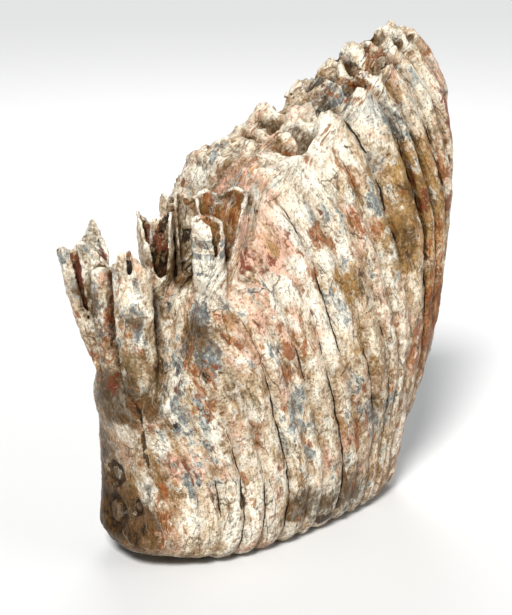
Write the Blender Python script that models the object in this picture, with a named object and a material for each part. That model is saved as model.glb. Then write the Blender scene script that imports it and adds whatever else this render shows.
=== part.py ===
"""A fossil mammoth molar that stands on its chewing face, roots up: one solid.

The crown is a row of tall plates fused side by side. Its root face is cut off aslant and
worn open between the plates, and two groups of hollow roots stand at the front end.
Metres, +Z up. X runs from the front of the tooth to its back, and -Y is the cheek side.
The origin lies on the flat patch that the tooth rests on.
"""
from collections import namedtuple
import math

import bmesh
import bpy
from mathutils import Vector, noise
import numpy as np

# Driving dimensions
COUNTING_HEIGHT = 0.100     # height at which the plates are evenly spaced
PLATE_PITCH = 0.0128        # plate to plate at that height
FIRST_GROOVE = -0.009       # a groove's place at that height
RIM_WALL = 0.0025           # cement left standing round the root face
BACK_RIB = 0.0030           # depth of the open ribs at the upper back
SIDE_RIB = 0.0013           # depth of the ribs on the rest of the sides
FRONT_LIFT = 0.004          # how far the chewing face curves up at the front
CAVITY = 0.0120             # depth of the gaps between plates on the root face
SQUARENESS = 2.4            # superellipse power of the crown's level sections
BACK_TAPER = 0.22           # how much narrower the sections get from front to back
VOXEL = 0.0013              # grain at which the lumps are fused into one solid
TRIANGLES = 9000            # facets of the finished solid
COLUMNS = 260
SIDE_ROWS = 120
FACE_ROWS = 26

# Level sections of the crown: height, front end, back end, middle line, half width
SECTIONS = (
    (0.000, -0.032, 0.088, 0.009, 0.024),
    (0.002, -0.048, 0.101, 0.008, 0.031),
    (0.005, -0.060, 0.107, 0.008, 0.035),
    (0.011, -0.067, 0.110, 0.007, 0.038),
    (0.020, -0.068, 0.111, 0.006, 0.0400),
    (0.040, -0.067, 0.114, 0.005, 0.042),
    (0.070, -0.069, 0.126, 0.003, 0.0435),
    (0.100, -0.073, 0.133, 0.001, 0.043),
    (0.130, -0.075, 0.138, 0.000, 0.041),
    (0.160, -0.074, 0.139, -0.002, 0.036),
    (0.190, -0.070, 0.138, -0.004, 0.030),
    (0.215, -0.060, 0.134, -0.004, 0.026),
    (0.240, -0.045, 0.120, -0.004, 0.020),
    (0.257, -0.030, 0.104, -0.004, 0.012),
)
# The root face along the tooth: place, height, fall towards the far side
ROOT_FACE = (
    (-0.090, 0.126, 0.35), (-0.064, 0.140, 0.35), (-0.050, 0.140, 0.35), (-0.038, 0.143, 0.35),
    (-0.026, 0.152, 0.30), (-0.017, 0.176, 0.15), (-0.009, 0.194, 0.02), (0.005, 0.199, 0.00),
    (0.029, 0.210, 0.00), (0.050, 0.222, 0.00), (0.079, 0.238, 0.00), (0.096, 0.248, 0.00),
    (0.110, 0.249, 0.00),
)
# Pits and knobs of the root face: x, y, radius, height
PITS_AND_KNOBS = (
    (0.036, 0.024, 0.0024, 0.007), (0.044, 0.022, 0.0080, -0.012), (0.057, 0.022, 0.0060, 0.003),
    (0.022, -0.024, 0.0060, -0.010), (0.036, -0.022, 0.0050, -0.006), (0.051, -0.019, 0.0060, -0.008),
    (0.078, -0.013, 0.0070, -0.008), (0.092, -0.008, 0.0045, -0.004), (0.030, 0.008, 0.0050, -0.009),
    (0.046, 0.008, 0.0050, -0.010), (0.061, 0.010, 0.0055, -0.009), (-0.002, -0.014, 0.0080, 0.004),
    (0.004, 0.010, 0.0070, 0.004), (0.014, -0.004, 0.0060, -0.004), (0.072, 0.014, 0.0060, 0.002),
    (0.102, 0.004, 0.0080, 0.003), (-0.060, -0.026, 0.0070, 0.006), (-0.049, -0.030, 0.0050, -0.007),
)

Root = namedtuple("Root", "foot tip lean foot_radius tip_radius flat turn wall bore notch notch_turn "
                  "notch_width jag")
# foot and tip are the ends of the middle line, and lean bows it. flat is the section's narrow
# width over its wide one, turn is its angle. bore is the depth of the hollow. The notch, a
# share of the length, opens the wall down from the rim on one side, or makes a peak there if
# it is negative. jag is the raggedness of the rim.
ROOTS = (
    # Front group, from the cheek side to the far side
    Root((-0.060, -0.013, 0.085), (-0.069, -0.012, 0.158), -0.002, 0.0090, 0.0092, 0.85, 1.57, 0.0022,
         0.018, -0.14, 2.5, 0.75, 0.05),
    Root((-0.062, 0.003, 0.085), (-0.072, 0.004, 0.157), -0.003, 0.0070, 0.0056, 0.90, 0.0, 0.0022,
         0.006, 0.04, 5.0, 0.5, 0.05),
    Root((-0.054, 0.015, 0.090), (-0.088, 0.014, 0.164), -0.003, 0.0090, 0.0056, 0.90, 0.3, 0.0020,
         0.034, 0.60, 5.3, 0.45, 0.05),
    Root((-0.056, 0.020, 0.095), (-0.073, 0.022, 0.160), -0.002, 0.0130, 0.0115, 0.45, 5.9, 0.0026,
         0.006, -0.16, 6.0, 0.9, 0.05),
    Root((-0.050, 0.032, 0.090), (-0.056, 0.033, 0.136), 0.000, 0.0100, 0.0080, 0.80, 0.5, 0.0024,
         0.012, 0.10, 1.0, 0.5, 0.10),
    # Second group, from the cheek side to the far side
    Root((-0.036, -0.033, 0.120), (-0.042, -0.036, 0.180), 0.000, 0.0085, 0.0080, 0.85, 0.2, 0.0024,
         0.008, 0.08, 5.2, 0.5, 0.08),
    Root((-0.022, -0.028, 0.130), (-0.027, -0.028, 0.193), 0.000, 0.0120, 0.0132, 0.80, 0.2, 0.0019,
         0.034, 0.42, 4.6, 0.85, 0.06),
    Root((-0.034, -0.010, 0.110), (-0.035, -0.006, 0.187), 0.000, 0.0090, 0.0098, 0.85, 0.0, 0.0019,
         0.046, 0.48, 5.1, 0.75, 0.08),
    Root((-0.042, -0.002, 0.110), (-0.045, -0.003, 0.176), 0.000, 0.0070, 0.0056, 0.70, 0.6, 0.0020,
         0.030, 0.35, 5.2, 0.8, 0.08),
    Root((-0.030, 0.014, 0.120), (-0.031, 0.014, 0.183), 0.000, 0.0080, 0.0085, 0.65, 0.3, 0.0020,
         0.020, 0.10, 5.0, 0.7, 0.10),
    Root((-0.038, 0.010, 0.110), (-0.047, 0.010, 0.172), 0.002, 0.0090, 0.0062, 0.55, 0.7, 0.0020,
         0.024, 0.30, 5.4, 0.9, 0.10),
    Root((-0.036, 0.026, 0.110), (-0.038, 0.027, 0.143), 0.000, 0.0110, 0.0100, 0.80, 0.0, 0.0026,
         0.014, 0.10, 1.0, 0.5, 0.10),
    Root((-0.022, 0.028, 0.120), (-0.024, 0.029, 0.156), 0.000, 0.0100, 0.0090, 0.80, 0.0, 0.0026,
         0.014, 0.10, 1.0, 0.5, 0.10),
)


def ease(value):
    """0 to 1 with soft ends, for values from 0 to 1."""
    value = np.clip(value, 0.0, 1.0)
    return value * value * (3.0 - 2.0 * value)


def curve_through(rows, column, at):
    """A smooth curve through one column of the rows, read at the places given."""
    rows = np.array(rows)
    places, values = rows[:, 0], rows[:, column]
    at = np.clip(at, places[0], places[-1])
    slopes = np.gradient(values, places)
    left = np.clip(np.searchsorted(places, at) - 1, 0, len(places) - 2)
    span = places[left + 1] - places[left]
    t = (at - places[left]) / span
    start = values[left] * (2 * t**3 - 3 * t**2 + 1) + slopes[left] * span * (t**3 - 2 * t**2 + t)
    end = values[left + 1] * (3 * t**2 - 2 * t**3) + slopes[left + 1] * span * (t**3 - t**2)
    return start + end


def lumps(points, size, shift=0.0):
    """Smooth noise from about -1 to 1 whose hills are as wide as the size."""
    return np.array([noise.noise(Vector(point)) for point in points / size + shift])


def root_face_height(x, y=0.0):
    return curve_through(ROOT_FACE, 1, x) - y * curve_through(ROOT_FACE, 2, x)


def crown_section(angle, height):
    """Where the crown's side lies at an angle round the tooth and a height."""
    front, back, middle, half_width = (curve_through(SECTIONS, column, height) for column in (1, 2, 3, 4))
    along = np.sign(np.cos(angle)) * np.abs(np.cos(angle)) ** (2 / SQUARENESS)
    across = np.sign(np.sin(angle)) * np.abs(np.sin(angle)) ** (2 / SQUARENESS)
    x = (front + back) / 2 + (back - front) / 2 * along
    y = middle + half_width * across * (1 - BACK_TAPER * along)
    return x, y


def front_lift(x, height):
    """The worn underside curves up towards the front."""
    return FRONT_LIFT * ease((-x - 0.014) / 0.045) * ease(1 - height / 0.05)


def plate_number(x, z):
    """Counts the plates along the tooth; a groove lies at each whole number.

    The plates rise upright and lean forwards further up, most of all near the root face.
    Low down at the back they stand upright too, and end at the crown's back edge.
    """
    x, z = np.array(x, dtype=float), np.array(z, dtype=float)
    steps = 40
    drop = (z - COUNTING_HEIGHT) / steps
    for _ in range(steps):
        below_face = np.maximum(root_face_height(x) - z, 0.0)
        from_back = curve_through(SECTIONS, 2, z) - x
        upright = ease((0.065 - from_back) / 0.030) * (1 - ease((z - 0.135) / 0.030))
        slope = -0.35 * ease((z - 0.020) / 0.040) * (1 - upright) - 0.7 * np.exp(-below_face / 0.025)
        x = x - drop * slope
        z = z - drop
    return (x - FIRST_GROOVE) / PLATE_PITCH


def groove_nearness(plate):
    """1 in a groove, 0 on the middle of a plate."""
    return np.abs(plate - np.floor(plate) - 0.5) * 2


def blob(points, centre, radius):
    """A round hill of height 1."""
    offsets = (points - np.array(centre)) / np.array(radius)
    return np.exp(-np.sum(offsets**2, axis=1))


def side_relief(points, normals):
    """How far the crown's side stands out: ribs over the plates, the front lobe, the neck."""
    x, y, z = points[:, 0], points[:, 1], points[:, 2]
    nearness = groove_nearness(plate_number(x, z))
    below_face = root_face_height(x, y) - z
    upper_back = ease((x - 0.045) / 0.045) * ease((z - 0.090) / 0.060)
    smooth_cement = blob(points, (0.012, -0.03, 0.160), (0.030, 0.06, 0.030))
    depth = SIDE_RIB * (1 - 0.7 * smooth_cement) + BACK_RIB * upper_back
    depth = depth * ease((x + 0.050) / 0.030) * ease(below_face / 0.012)
    depth = depth * (1 - ease((np.abs(normals[:, 0]) - 0.72) / 0.22))
    ribs = depth * (np.sqrt(np.clip(1 - (0.97 * nearness) ** 2, 0, 1)) - 1)
    at_front = ease((-x - 0.045) / 0.020)
    neck = -0.0030 * at_front * np.exp(-((z - 0.104) / 0.006) ** 2)
    lobe = 0.0025 * blob(points, (-0.070, 0.0, 0.083), (0.020, 0.030, 0.016))
    broad = 0.0016 * lumps(points, 0.045, 3.0) + 0.0006 * lumps(points, 0.013, 7.0)
    return ribs + neck + lobe + broad * ease(z / 0.012)


def root_face_relief(points):
    """How high the root face stands: cross walls over the plates, with gaps between them."""
    x, y = points[:, 0], points[:, 1]
    nearness = groove_nearness(plate_number(x, root_face_height(x)))
    open_part = ease((x - 0.012) / 0.020)
    two_rows = 0.60 + 0.40 * np.cos((y + 0.016) / 0.024 * 2 * math.pi)
    gap = CAVITY * open_part * (0.25 - two_rows * ease((nearness - 0.30) / 0.45))
    relief = gap + 0.0016 * lumps(points, 0.009, 11.0) + 0.0008 * lumps(points, 0.004, 5.0)
    return relief


def pits_and_knobs(points):
    heights = np.zeros(len(points))
    for x, y, radius, height in PITS_AND_KNOBS:
        heights += height * np.exp(-((points[:, 0] - x) ** 2 + (points[:, 1] - y) ** 2) / radius**2)
    return heights


def wrapped_sheet(rows):
    """Closes rows of points (row, column, xyz) into a solid skin; end rows shrink to a seam."""
    row_count, column_count = rows.shape[:2]
    skin = bmesh.new()
    bmesh.ops.create_grid(skin, x_segments=column_count, y_segments=row_count - 1, size=1.0)
    skin.verts.ensure_lookup_table()
    closed = np.concatenate([rows, rows[:, :1]], axis=1).reshape(-1, 3)
    for vertex, place in zip(skin.verts, closed):
        vertex.co = place
    bmesh.ops.remove_doubles(skin, verts=skin.verts, dist=1e-6)
    bmesh.ops.recalc_face_normals(skin, faces=skin.faces)
    skin.normal_update()
    return skin


def crown_rows():
    """The crown's skin in rows: chewing face, sides, root face."""
    angles = np.linspace(0, 2 * math.pi, COLUMNS, endpoint=False)
    tops = np.full(COLUMNS, 0.2)
    for _ in range(60):
        x, y = crown_section(angles, tops)
        tops = np.clip(tops + 0.35 * (root_face_height(x, y) - tops), 0.06, SECTIONS[-1][0])
    rows = []
    x, y = crown_section(angles, np.zeros(COLUMNS))
    for share in np.linspace(0, 1, 10)[:-1]:
        rows.append(np.stack([x, SECTIONS[0][3] + (y - SECTIONS[0][3]) * share, front_lift(x, 0)], axis=1))
    for share in np.linspace(0, 1, SIDE_ROWS) ** 1.2:
        height = tops * share
        x, y = crown_section(angles, height)
        rows.append(np.stack([x, y, height + front_lift(x, height)], axis=1))
    middle = (y + y[-np.arange(COLUMNS)]) / 2
    for share in np.linspace(1, 0, FACE_ROWS)[1:]:
        row_y = middle + (y - middle) * share
        rows.append(np.stack([x, row_y, np.minimum(root_face_height(x, row_y), SECTIONS[-1][0])], axis=1))
    return np.stack(rows), 10 - 1 + SIDE_ROWS


def displaced_crown():
    """The crown with its relief: sides pushed along their normals, root face up and down."""
    rows, face_start = crown_rows()
    smooth = wrapped_sheet(rows)
    points = np.array([vertex.co for vertex in smooth.verts])
    normals = np.array([vertex.normal for vertex in smooth.verts])
    below_face = root_face_height(points[:, 0], points[:, 1]) - points[:, 2]
    on_root_face = np.exp(-np.clip(below_face, 0, 1) / 0.0004)
    middle = curve_through(SECTIONS, 3, points[:, 2])
    half_width = np.interp(points[:, 0], *rim_half_widths(rows[face_start - 1]))
    inside_rim = ease((half_width - np.abs(points[:, 1] - middle)) / (2 * RIM_WALL))
    chewing = points[:, 2] < 0.0005
    outward = side_relief(points, normals) * (1 - on_root_face) * ~chewing
    upward = (root_face_relief(points) * (0.3 + 0.7 * inside_rim) + pits_and_knobs(points)) * on_root_face
    for vertex, out, up in zip(smooth.verts, outward, upward):
        vertex.co += vertex.normal * float(out) + Vector((0, 0, float(up)))
    return smooth


def rim_half_widths(rim):
    """Half widths of the root face along the tooth."""
    order = np.argsort(rim[:, 0])
    middle = curve_through(SECTIONS, 3, rim[:, 2])
    return rim[order, 0], np.abs(rim[:, 1] - middle)[order]


def root_tube(root, seed, columns=30, outer_rows=22, inner_rows=14):
    """A hollow root with a ragged mouth, as a closed skin."""
    foot, tip = np.array(root.foot), np.array(root.tip)
    length = np.linalg.norm(tip - foot)
    angles = np.linspace(0, 2 * math.pi, columns, endpoint=False)
    ring = np.stack([np.cos(angles), np.sin(angles), 0 * angles], axis=1)
    facing = (angles - root.notch_turn + math.pi) % (2 * math.pi) - math.pi
    notch = root.notch * np.exp(-(facing / root.notch_width) ** 2)
    ragged = root.jag * lumps(ring * 1.1 + seed, 1.0) + 0.5 * root.jag * lumps(ring * 3.1 + seed, 1.0)
    mouth = 1 - notch + ragged
    floor = min(1 - root.bore / length, float(mouth.min()) - 0.04)

    def level(shares, wall):
        """Points round the root at shares of its length."""
        radius = root.foot_radius + (root.tip_radius - root.foot_radius) * shares
        swell = 1 + 0.07 * lumps(np.stack([ring[:, 0], ring[:, 1], shares * 3 + seed], axis=1), 0.8)
        wide = (radius * swell - wall) * ring[:, 0]
        narrow = (radius * swell * root.flat - wall) * ring[:, 1]
        turn_cos, turn_sin = math.cos(root.turn), math.sin(root.turn)
        centre = foot + (tip - foot) * shares[:, None]
        centre[:, 0] += root.lean * np.sin(math.pi * shares)
        centre[:, 0] += wide * turn_cos - narrow * turn_sin
        centre[:, 1] += wide * turn_sin + narrow * turn_cos
        return centre

    def closed_end(share):
        middle = foot + (tip - foot) * share
        return np.repeat(middle[None, :], columns, axis=0)

    rows = [closed_end(0.0)]
    rows += [level(mouth * share, 0.0) for share in np.linspace(0, 1, outer_rows)]
    rows += [level(mouth + (floor - mouth) * share, root.wall) for share in np.linspace(0, 1, inner_rows)]
    rows.append(closed_end(floor))
    return wrapped_sheet(np.stack(rows))


def merged(skins):
    """One mesh that holds all the skins."""
    mesh = bpy.data.meshes.new("skins")
    whole = bmesh.new()
    for skin in skins:
        skin.to_mesh(mesh)
        whole.from_mesh(mesh)
        skin.free()
    whole.to_mesh(mesh)
    whole.free()
    return mesh


def fused(mesh):
    """Fuses overlapping skins into one, and thins its facets where it is flat."""
    holder = bpy.data.objects.new("holder", mesh)
    bpy.context.collection.objects.link(holder)
    fuse = holder.modifiers.new("fuse", "REMESH")
    fuse.mode = "VOXEL"
    fuse.voxel_size = VOXEL
    grain = evaluated_mesh(holder)
    holder.modifiers.remove(fuse)
    holder.data = grain
    thin = holder.modifiers.new("thin", "DECIMATE")
    thin.ratio = TRIANGLES / (2 * len(grain.polygons))
    result = evaluated_mesh(holder)
    bpy.data.objects.remove(holder)
    return result


def evaluated_mesh(thing):
    depsgraph = bpy.context.evaluated_depsgraph_get()
    depsgraph.update()
    return bpy.data.meshes.new_from_object(thing.evaluated_get(depsgraph))


def largest_piece(solid):
    """Deletes every shell but the largest, such as bubbles sealed between two roots."""
    unseen, largest = set(solid.verts), []
    while unseen:
        shell, front = [], [unseen.pop()]
        while front:
            vertex = front.pop()
            shell.append(vertex)
            for edge in vertex.link_edges:
                other = edge.other_vert(vertex)
                if other in unseen:
                    unseen.remove(other)
                    front.append(other)
        largest = max(largest, shell, key=len)
    kept = set(largest)
    bmesh.ops.delete(solid, geom=[v for v in solid.verts if v not in kept], context="VERTS")


def with_flat_rest(mesh, height=0.0004):
    """Cuts the chewing face level where the tooth rests, and sets that face at z = 0."""
    solid = bmesh.new()
    solid.from_mesh(mesh)
    largest_piece(solid)
    bmesh.ops.triangulate(solid, faces=solid.faces)
    cut = bmesh.ops.bisect_plane(solid, geom=solid.verts[:] + solid.edges[:] + solid.faces[:], dist=1e-6,
                                 plane_co=(0, 0, height), plane_no=(0, 0, 1), clear_inner=True)
    rim = [item for item in cut["geom_cut"] if isinstance(item, bmesh.types.BMEdge)]
    bmesh.ops.holes_fill(solid, edges=rim, sides=0)
    bmesh.ops.remove_doubles(solid, verts=solid.verts, dist=2e-5)
    bmesh.ops.dissolve_degenerate(solid, edges=solid.edges, dist=1e-6)
    bmesh.ops.translate(solid, verts=solid.verts, vec=(0, 0, -height))
    bmesh.ops.triangulate(solid, faces=solid.faces)
    bmesh.ops.recalc_face_normals(solid, faces=solid.faces)
    solid.to_mesh(mesh)
    solid.free()
    return mesh


def fossil_material():
    material = bpy.data.materials.new("fossil_enamel_and_cement")
    material.use_nodes = True
    surface = material.node_tree.nodes["Principled BSDF"]
    surface.inputs["Base Color"].default_value = (0.52, 0.42, 0.32, 1.0)
    surface.inputs["Roughness"].default_value = 0.42
    surface.inputs["Metallic"].default_value = 0.0
    return material


def main():
    for thing in list(bpy.data.objects):
        bpy.data.objects.remove(thing)
    skins = [displaced_crown()]
    skins += [root_tube(root, seed=2.3 * number + 1.0) for number, root in enumerate(ROOTS)]
    mesh = with_flat_rest(fused(merged(skins)))
    mesh.name = "mammoth_tooth"
    mesh.materials.append(fossil_material())
    mesh.shade_smooth()
    mesh.set_sharp_from_angle(angle=math.radians(40))
    tooth = bpy.data.objects.new("mammoth_tooth", mesh)
    bpy.context.collection.objects.link(tooth)


main()
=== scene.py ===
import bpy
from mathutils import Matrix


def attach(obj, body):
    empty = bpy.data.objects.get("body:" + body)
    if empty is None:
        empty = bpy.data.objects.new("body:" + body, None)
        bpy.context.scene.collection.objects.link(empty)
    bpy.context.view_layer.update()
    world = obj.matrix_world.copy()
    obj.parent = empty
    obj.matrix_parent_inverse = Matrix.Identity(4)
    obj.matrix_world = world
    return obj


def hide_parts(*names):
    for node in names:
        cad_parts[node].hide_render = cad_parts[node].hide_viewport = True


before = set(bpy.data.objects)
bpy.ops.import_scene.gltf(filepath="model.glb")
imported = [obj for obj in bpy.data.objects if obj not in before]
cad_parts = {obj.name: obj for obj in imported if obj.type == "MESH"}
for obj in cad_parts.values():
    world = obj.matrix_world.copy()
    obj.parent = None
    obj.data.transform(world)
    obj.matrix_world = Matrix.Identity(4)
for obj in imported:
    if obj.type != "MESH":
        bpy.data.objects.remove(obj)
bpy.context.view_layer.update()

# %% [markdown]
# # A fossil mammoth molar
#
# This notebook dresses the plain solid of a mammoth's molar as the fossil it is. A mammoth
# molar is a loaf of tall upright plates, each a flat pocket of enamel, glued side by side by
# cement. Here it stands on its chewing face, with the broken hollow roots at the top of its
# front end. Everything is in metres, +Z up, X from the front of the tooth to its back, and
# the cheek side faces -Y.
#
# A lumpy natural thing like this could be sculpted by hand, or grown from metaballs. We
# build it from a few smooth skins that are pushed in and out by plain formulas, because a
# formula can be read, measured and repeated, and every rib then lies where we can name it.
#
# The first helpers are the ones that every later step leans on.

# %% Small helpers
from collections import namedtuple
import math

import bmesh
import bpy
from mathutils import Vector, noise
from mathutils.bvhtree import BVHTree
import numpy as np

MM = 0.001


def ease(value):
    """0 to 1 with soft ends, for values from 0 to 1."""
    value = np.clip(value, 0.0, 1.0)
    return value * value * (3.0 - 2.0 * value)


def curve_through(rows, column, at):
    """A smooth curve through one column of the rows, read at the places given."""
    rows = np.array(rows, dtype=float)
    places, values = rows[:, 0], rows[:, column]
    at = np.clip(at, places[0], places[-1])
    slopes = np.gradient(values, places)
    left = np.clip(np.searchsorted(places, at) - 1, 0, len(places) - 2)
    span = places[left + 1] - places[left]
    t = (at - places[left]) / span
    start = values[left] * (2 * t**3 - 3 * t**2 + 1) + slopes[left] * span * (t**3 - 2 * t**2 + t)
    end = values[left + 1] * (3 * t**2 - 2 * t**3) + slopes[left + 1] * span * (t**3 - t**2)
    return start + end


def lumps(points, size, shift=0.0):
    """Smooth noise from about -1 to 1 whose hills are as wide as the size."""
    return np.array([noise.noise(Vector(point)) for point in points / size + shift])


def crumble(points, size, shift=0.0, octaves=4):
    """Rough noise from about -1 to 1: hills of the size, with smaller ones on them."""
    return np.array([noise.fractal(Vector(point), 0.9, 2.1, octaves) for point in points / size + shift])


def into_scene(name, data):
    """A new object in the scene that shows the mesh, light or camera data."""
    thing = bpy.data.objects.new(name, data)
    bpy.context.scene.collection.objects.link(thing)
    return thing


print("rough noise at three places:", crumble(np.eye(3) * 0.02, 0.01).round(2))

# %% [markdown]
# ## The crown as stacked outlines
#
# Cut the crown level at any height and the slice is a rounded box: blunt at the front,
# narrower at the back. We could lay down a mesh by hand along those slices. It is easier to
# write the slice as a superellipse, a circle whose power is raised until it gets shoulders,
# and let a short table say how long and wide it is at each height.
#
# The top of the crown isn't level. It is the root face, which climbs towards the back, so a
# second table gives its height along the tooth.

# %% Tables of the crown
SQUARENESS = 2.4            # superellipse power of the level slices
BACK_TAPER = 0.22           # how much narrower the slices get from front to back
FRONT_LIFT = 0.004          # how far the chewing face curves up at the front
# Level slices: height, front end, back end, middle line, half width
SLICES = (
    (0.000, -0.032, 0.088, 0.009, 0.024),
    (0.002, -0.048, 0.101, 0.008, 0.031),
    (0.005, -0.060, 0.107, 0.008, 0.035),
    (0.011, -0.067, 0.110, 0.007, 0.038),
    (0.020, -0.068, 0.111, 0.006, 0.0400),
    (0.040, -0.067, 0.114, 0.005, 0.042),
    (0.070, -0.069, 0.126, 0.003, 0.0435),
    (0.100, -0.073, 0.133, 0.001, 0.043),
    (0.130, -0.075, 0.138, 0.000, 0.041),
    (0.160, -0.074, 0.139, -0.002, 0.036),
    (0.190, -0.070, 0.138, -0.004, 0.030),
    (0.215, -0.060, 0.134, -0.004, 0.026),
    (0.240, -0.045, 0.120, -0.004, 0.020),
    (0.257, -0.030, 0.104, -0.004, 0.012),
)
TOP = SLICES[-1][0]
# The root face along the tooth: place, height, fall towards the far side
ROOT_FACE = (
    (-0.090, 0.098, 0.10), (-0.070, 0.104, 0.10), (-0.060, 0.118, 0.20), (-0.050, 0.136, 0.35),
    (-0.038, 0.143, 0.35), (-0.026, 0.152, 0.30), (-0.017, 0.176, 0.15), (-0.009, 0.194, 0.02),
    (0.005, 0.199, 0.00), (0.029, 0.210, 0.00), (0.050, 0.222, 0.00), (0.079, 0.238, 0.00),
    (0.096, 0.248, 0.00), (0.110, 0.249, 0.00),
)
CORNER_DROP = 0.036         # how far the root face falls at the front corner of the cheek side


def root_face_height(x, y=0.0):
    """How high the root face lies over a place."""
    corner = ease((-x - 0.040) / 0.022) * ease((-y - 0.002) / 0.026)
    return curve_through(ROOT_FACE, 1, x) - y * curve_through(ROOT_FACE, 2, x) - CORNER_DROP * corner


def below_face(points):
    """How far points lie under the root face."""
    return root_face_height(points[:, 0], points[:, 1]) - points[:, 2]


def crown_slice(angle, height):
    """Where the crown's side lies at an angle round the tooth and a height."""
    front, back, middle, half_width = (curve_through(SLICES, column, height) for column in (1, 2, 3, 4))
    along = np.sign(np.cos(angle)) * np.abs(np.cos(angle)) ** (2 / SQUARENESS)
    across = np.sign(np.sin(angle)) * np.abs(np.sin(angle)) ** (2 / SQUARENESS)
    x = (front + back) / 2 + (back - front) / 2 * along
    y = middle + half_width * across * (1 - BACK_TAPER * along)
    return x, y


def front_lift(x, height):
    """The worn underside curves up towards the front."""
    return FRONT_LIFT * ease((-x - 0.014) / 0.045) * ease(1 - height / 0.05)


print("crown at 100 mm:", [round(float(v), 3) for v in crown_slice(0.0, np.array(0.100))], "is its back end")

# %% [markdown]
# ## Counting the plates
#
# The plates stand upright at the chewing face and lean forwards as they rise, most of all
# close to the root face. To put a rib over each plate we need one number for every point of
# the surface, that says which plate it lies on. We find it by walking from the point, along
# the lean of the plates, to one counting height, and reading off the place there.
#
# Real plates aren't evenly wide, so a list then says at which count each groove lies.

# %% Plates and grooves
COUNTING_HEIGHT = 0.100     # height at which the plates are counted
PLATE_PITCH = 0.0128        # mean step from plate to plate at that height
FIRST_GROOVE = -0.009       # where the count is 0
WALK_STEPS = 40
# Counts at which the grooves lie, from the front of the tooth to its back
GROOVES = (-6.10, -4.93, -3.73, -2.62, -1.55, -0.32, 0.70, 1.55, 2.75, 3.65, 4.85, 6.10, 7.00, 7.80,
           9.05, 9.85, 10.90, 11.90, 12.90, 13.90)
FIRST_NUMBER = -6           # the number of the first groove in that list


def plate_count(x, z):
    """The plate that each place lies on, as a count of mean plates from the first groove."""
    x, z = np.array(x, dtype=float), np.array(z, dtype=float)
    drop = (z - COUNTING_HEIGHT) / WALK_STEPS
    for _ in range(WALK_STEPS):
        under_face = np.maximum(root_face_height(x) - z, 0.0)
        from_back = curve_through(SLICES, 2, z) - x
        upright = ease((0.065 - from_back) / 0.030) * (1 - ease((z - 0.135) / 0.030))
        slope = -0.35 * ease((z - 0.020) / 0.040) * (1 - upright) - 0.7 * np.exp(-under_face / 0.025)
        x = x - drop * slope
        z = z - drop
    return (x - FIRST_GROOVE) / PLATE_PITCH


def rib_number(count):
    """Whole in each groove, and half way between two on the crest of a rib."""
    return np.interp(count, GROOVES, FIRST_NUMBER + np.arange(len(GROOVES)))


def groove_nearness(rib):
    """1 in a groove, 0 on the crest of a rib."""
    return np.abs(rib - np.floor(rib) - 0.5) * 2


def wander(points):
    """How far the grooves stray from their listed counts."""
    return 0.10 * lumps(points, 0.030, 31.0)


print("groove numbers", FIRST_NUMBER, "to", FIRST_NUMBER + len(GROOVES) - 1)

# %% [markdown]
# ## Marks of the front end
#
# The front end has features of its own. A low step runs down it, where a flake of the outer
# cement ends, with a pale rim along it and a dark crevice above. Two round pits with
# ring-shaped troughs sit low down, and a smaller one beside them. Such marks are too few for
# noise, so we draw them: the lines as curves through a few points, the pits as rings.

# %% Marks of the front end
STEP_HEIGHT = 0.0020        # how far the flake of cement stands out
# Round pits on the front end: y, height, half width, half height, depth
EYE_PITS = ((0.0068, 0.0490, 0.0076, 0.0062, 0.0022), (0.0073, 0.0290, 0.0092, 0.0094, 0.0030),
            (-0.0086, 0.0357, 0.0030, 0.0042, 0.0020))
# The step down the front end: height, y. Cement is left on the cheek side of it.
FRONT_STEP = ((0.000, -0.024), (0.021, -0.0217), (0.031, -0.0184), (0.040, -0.0139), (0.053, -0.0107),
              (0.068, -0.0095), (0.090, -0.0100))
# The dark crevice above it: height, y
FRONT_CREVICE = ((0.050, -0.0200), (0.057, -0.0172), (0.068, -0.0160), (0.079, -0.0163), (0.087, -0.0158),
                 (0.092, -0.0144), (0.097, -0.0090), (0.101, -0.0010))


def at_front(points, start=0.048, width=0.012):
    """0 on the sides, 1 on the front end."""
    return ease((-points[:, 0] - start) / width)


def front_step(points):
    """The flake of cement that ends in a step on the front end."""
    beyond = curve_through(FRONT_STEP, 1, points[:, 2]) - points[:, 1] + 0.0006 * lumps(points, 0.004, 21.0)
    low_down = at_front(points) * ease((0.074 - points[:, 2]) / 0.012)
    return STEP_HEIGHT * ease(beyond / 0.0016) * np.exp(-np.maximum(beyond, 0) / 0.016) * low_down


def front_line(points):
    """The dark crevice of the front end, and the pale rim along the step below it."""
    y, z = points[:, 1], points[:, 2]
    aside = curve_through(FRONT_CREVICE, 1, z) - y + 0.0014 * crumble(points, 0.007, 29.0)
    broken = np.clip(0.75 + 0.8 * lumps(points, 0.007, 25.0), 0, 1)
    crevice = np.exp(-((aside / 0.0009) ** 2)) * at_front(points) * broken
    crevice = crevice * ease((z - 0.050) / 0.012) * ease((0.103 - z) / 0.005)
    beyond = curve_through(FRONT_STEP, 1, z) - y
    rim = np.exp(-(((beyond - 0.0010) / 0.0010) ** 2)) * at_front(points) * ease((0.066 - z) / 0.008)
    return crevice, rim


def eye_rings(points):
    """1 in the ring-shaped trough of a round pit, and how deep the trough is."""
    ring, depth = np.zeros(len(points)), np.zeros(len(points))
    front_end = at_front(points, 0.050, 0.008)
    for y, z, half_width, half_height, deep in EYE_PITS:
        reach = np.hypot((points[:, 1] - y) / half_width, (points[:, 2] - z) / half_height)
        reach = reach * (1 + 0.12 * lumps(points, 0.004, 27.0))
        trough = np.exp(-((reach - 0.78) / 0.26) ** 2) * front_end
        ring = np.maximum(ring, trough)
        depth = np.maximum(depth, deep * np.maximum(trough, 0.45 * (reach < 0.75) * front_end))
    return ring, depth


print(len(EYE_PITS), "round pits, the deepest", round(max(pit[4] for pit in EYE_PITS) / MM, 1), "mm")

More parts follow.
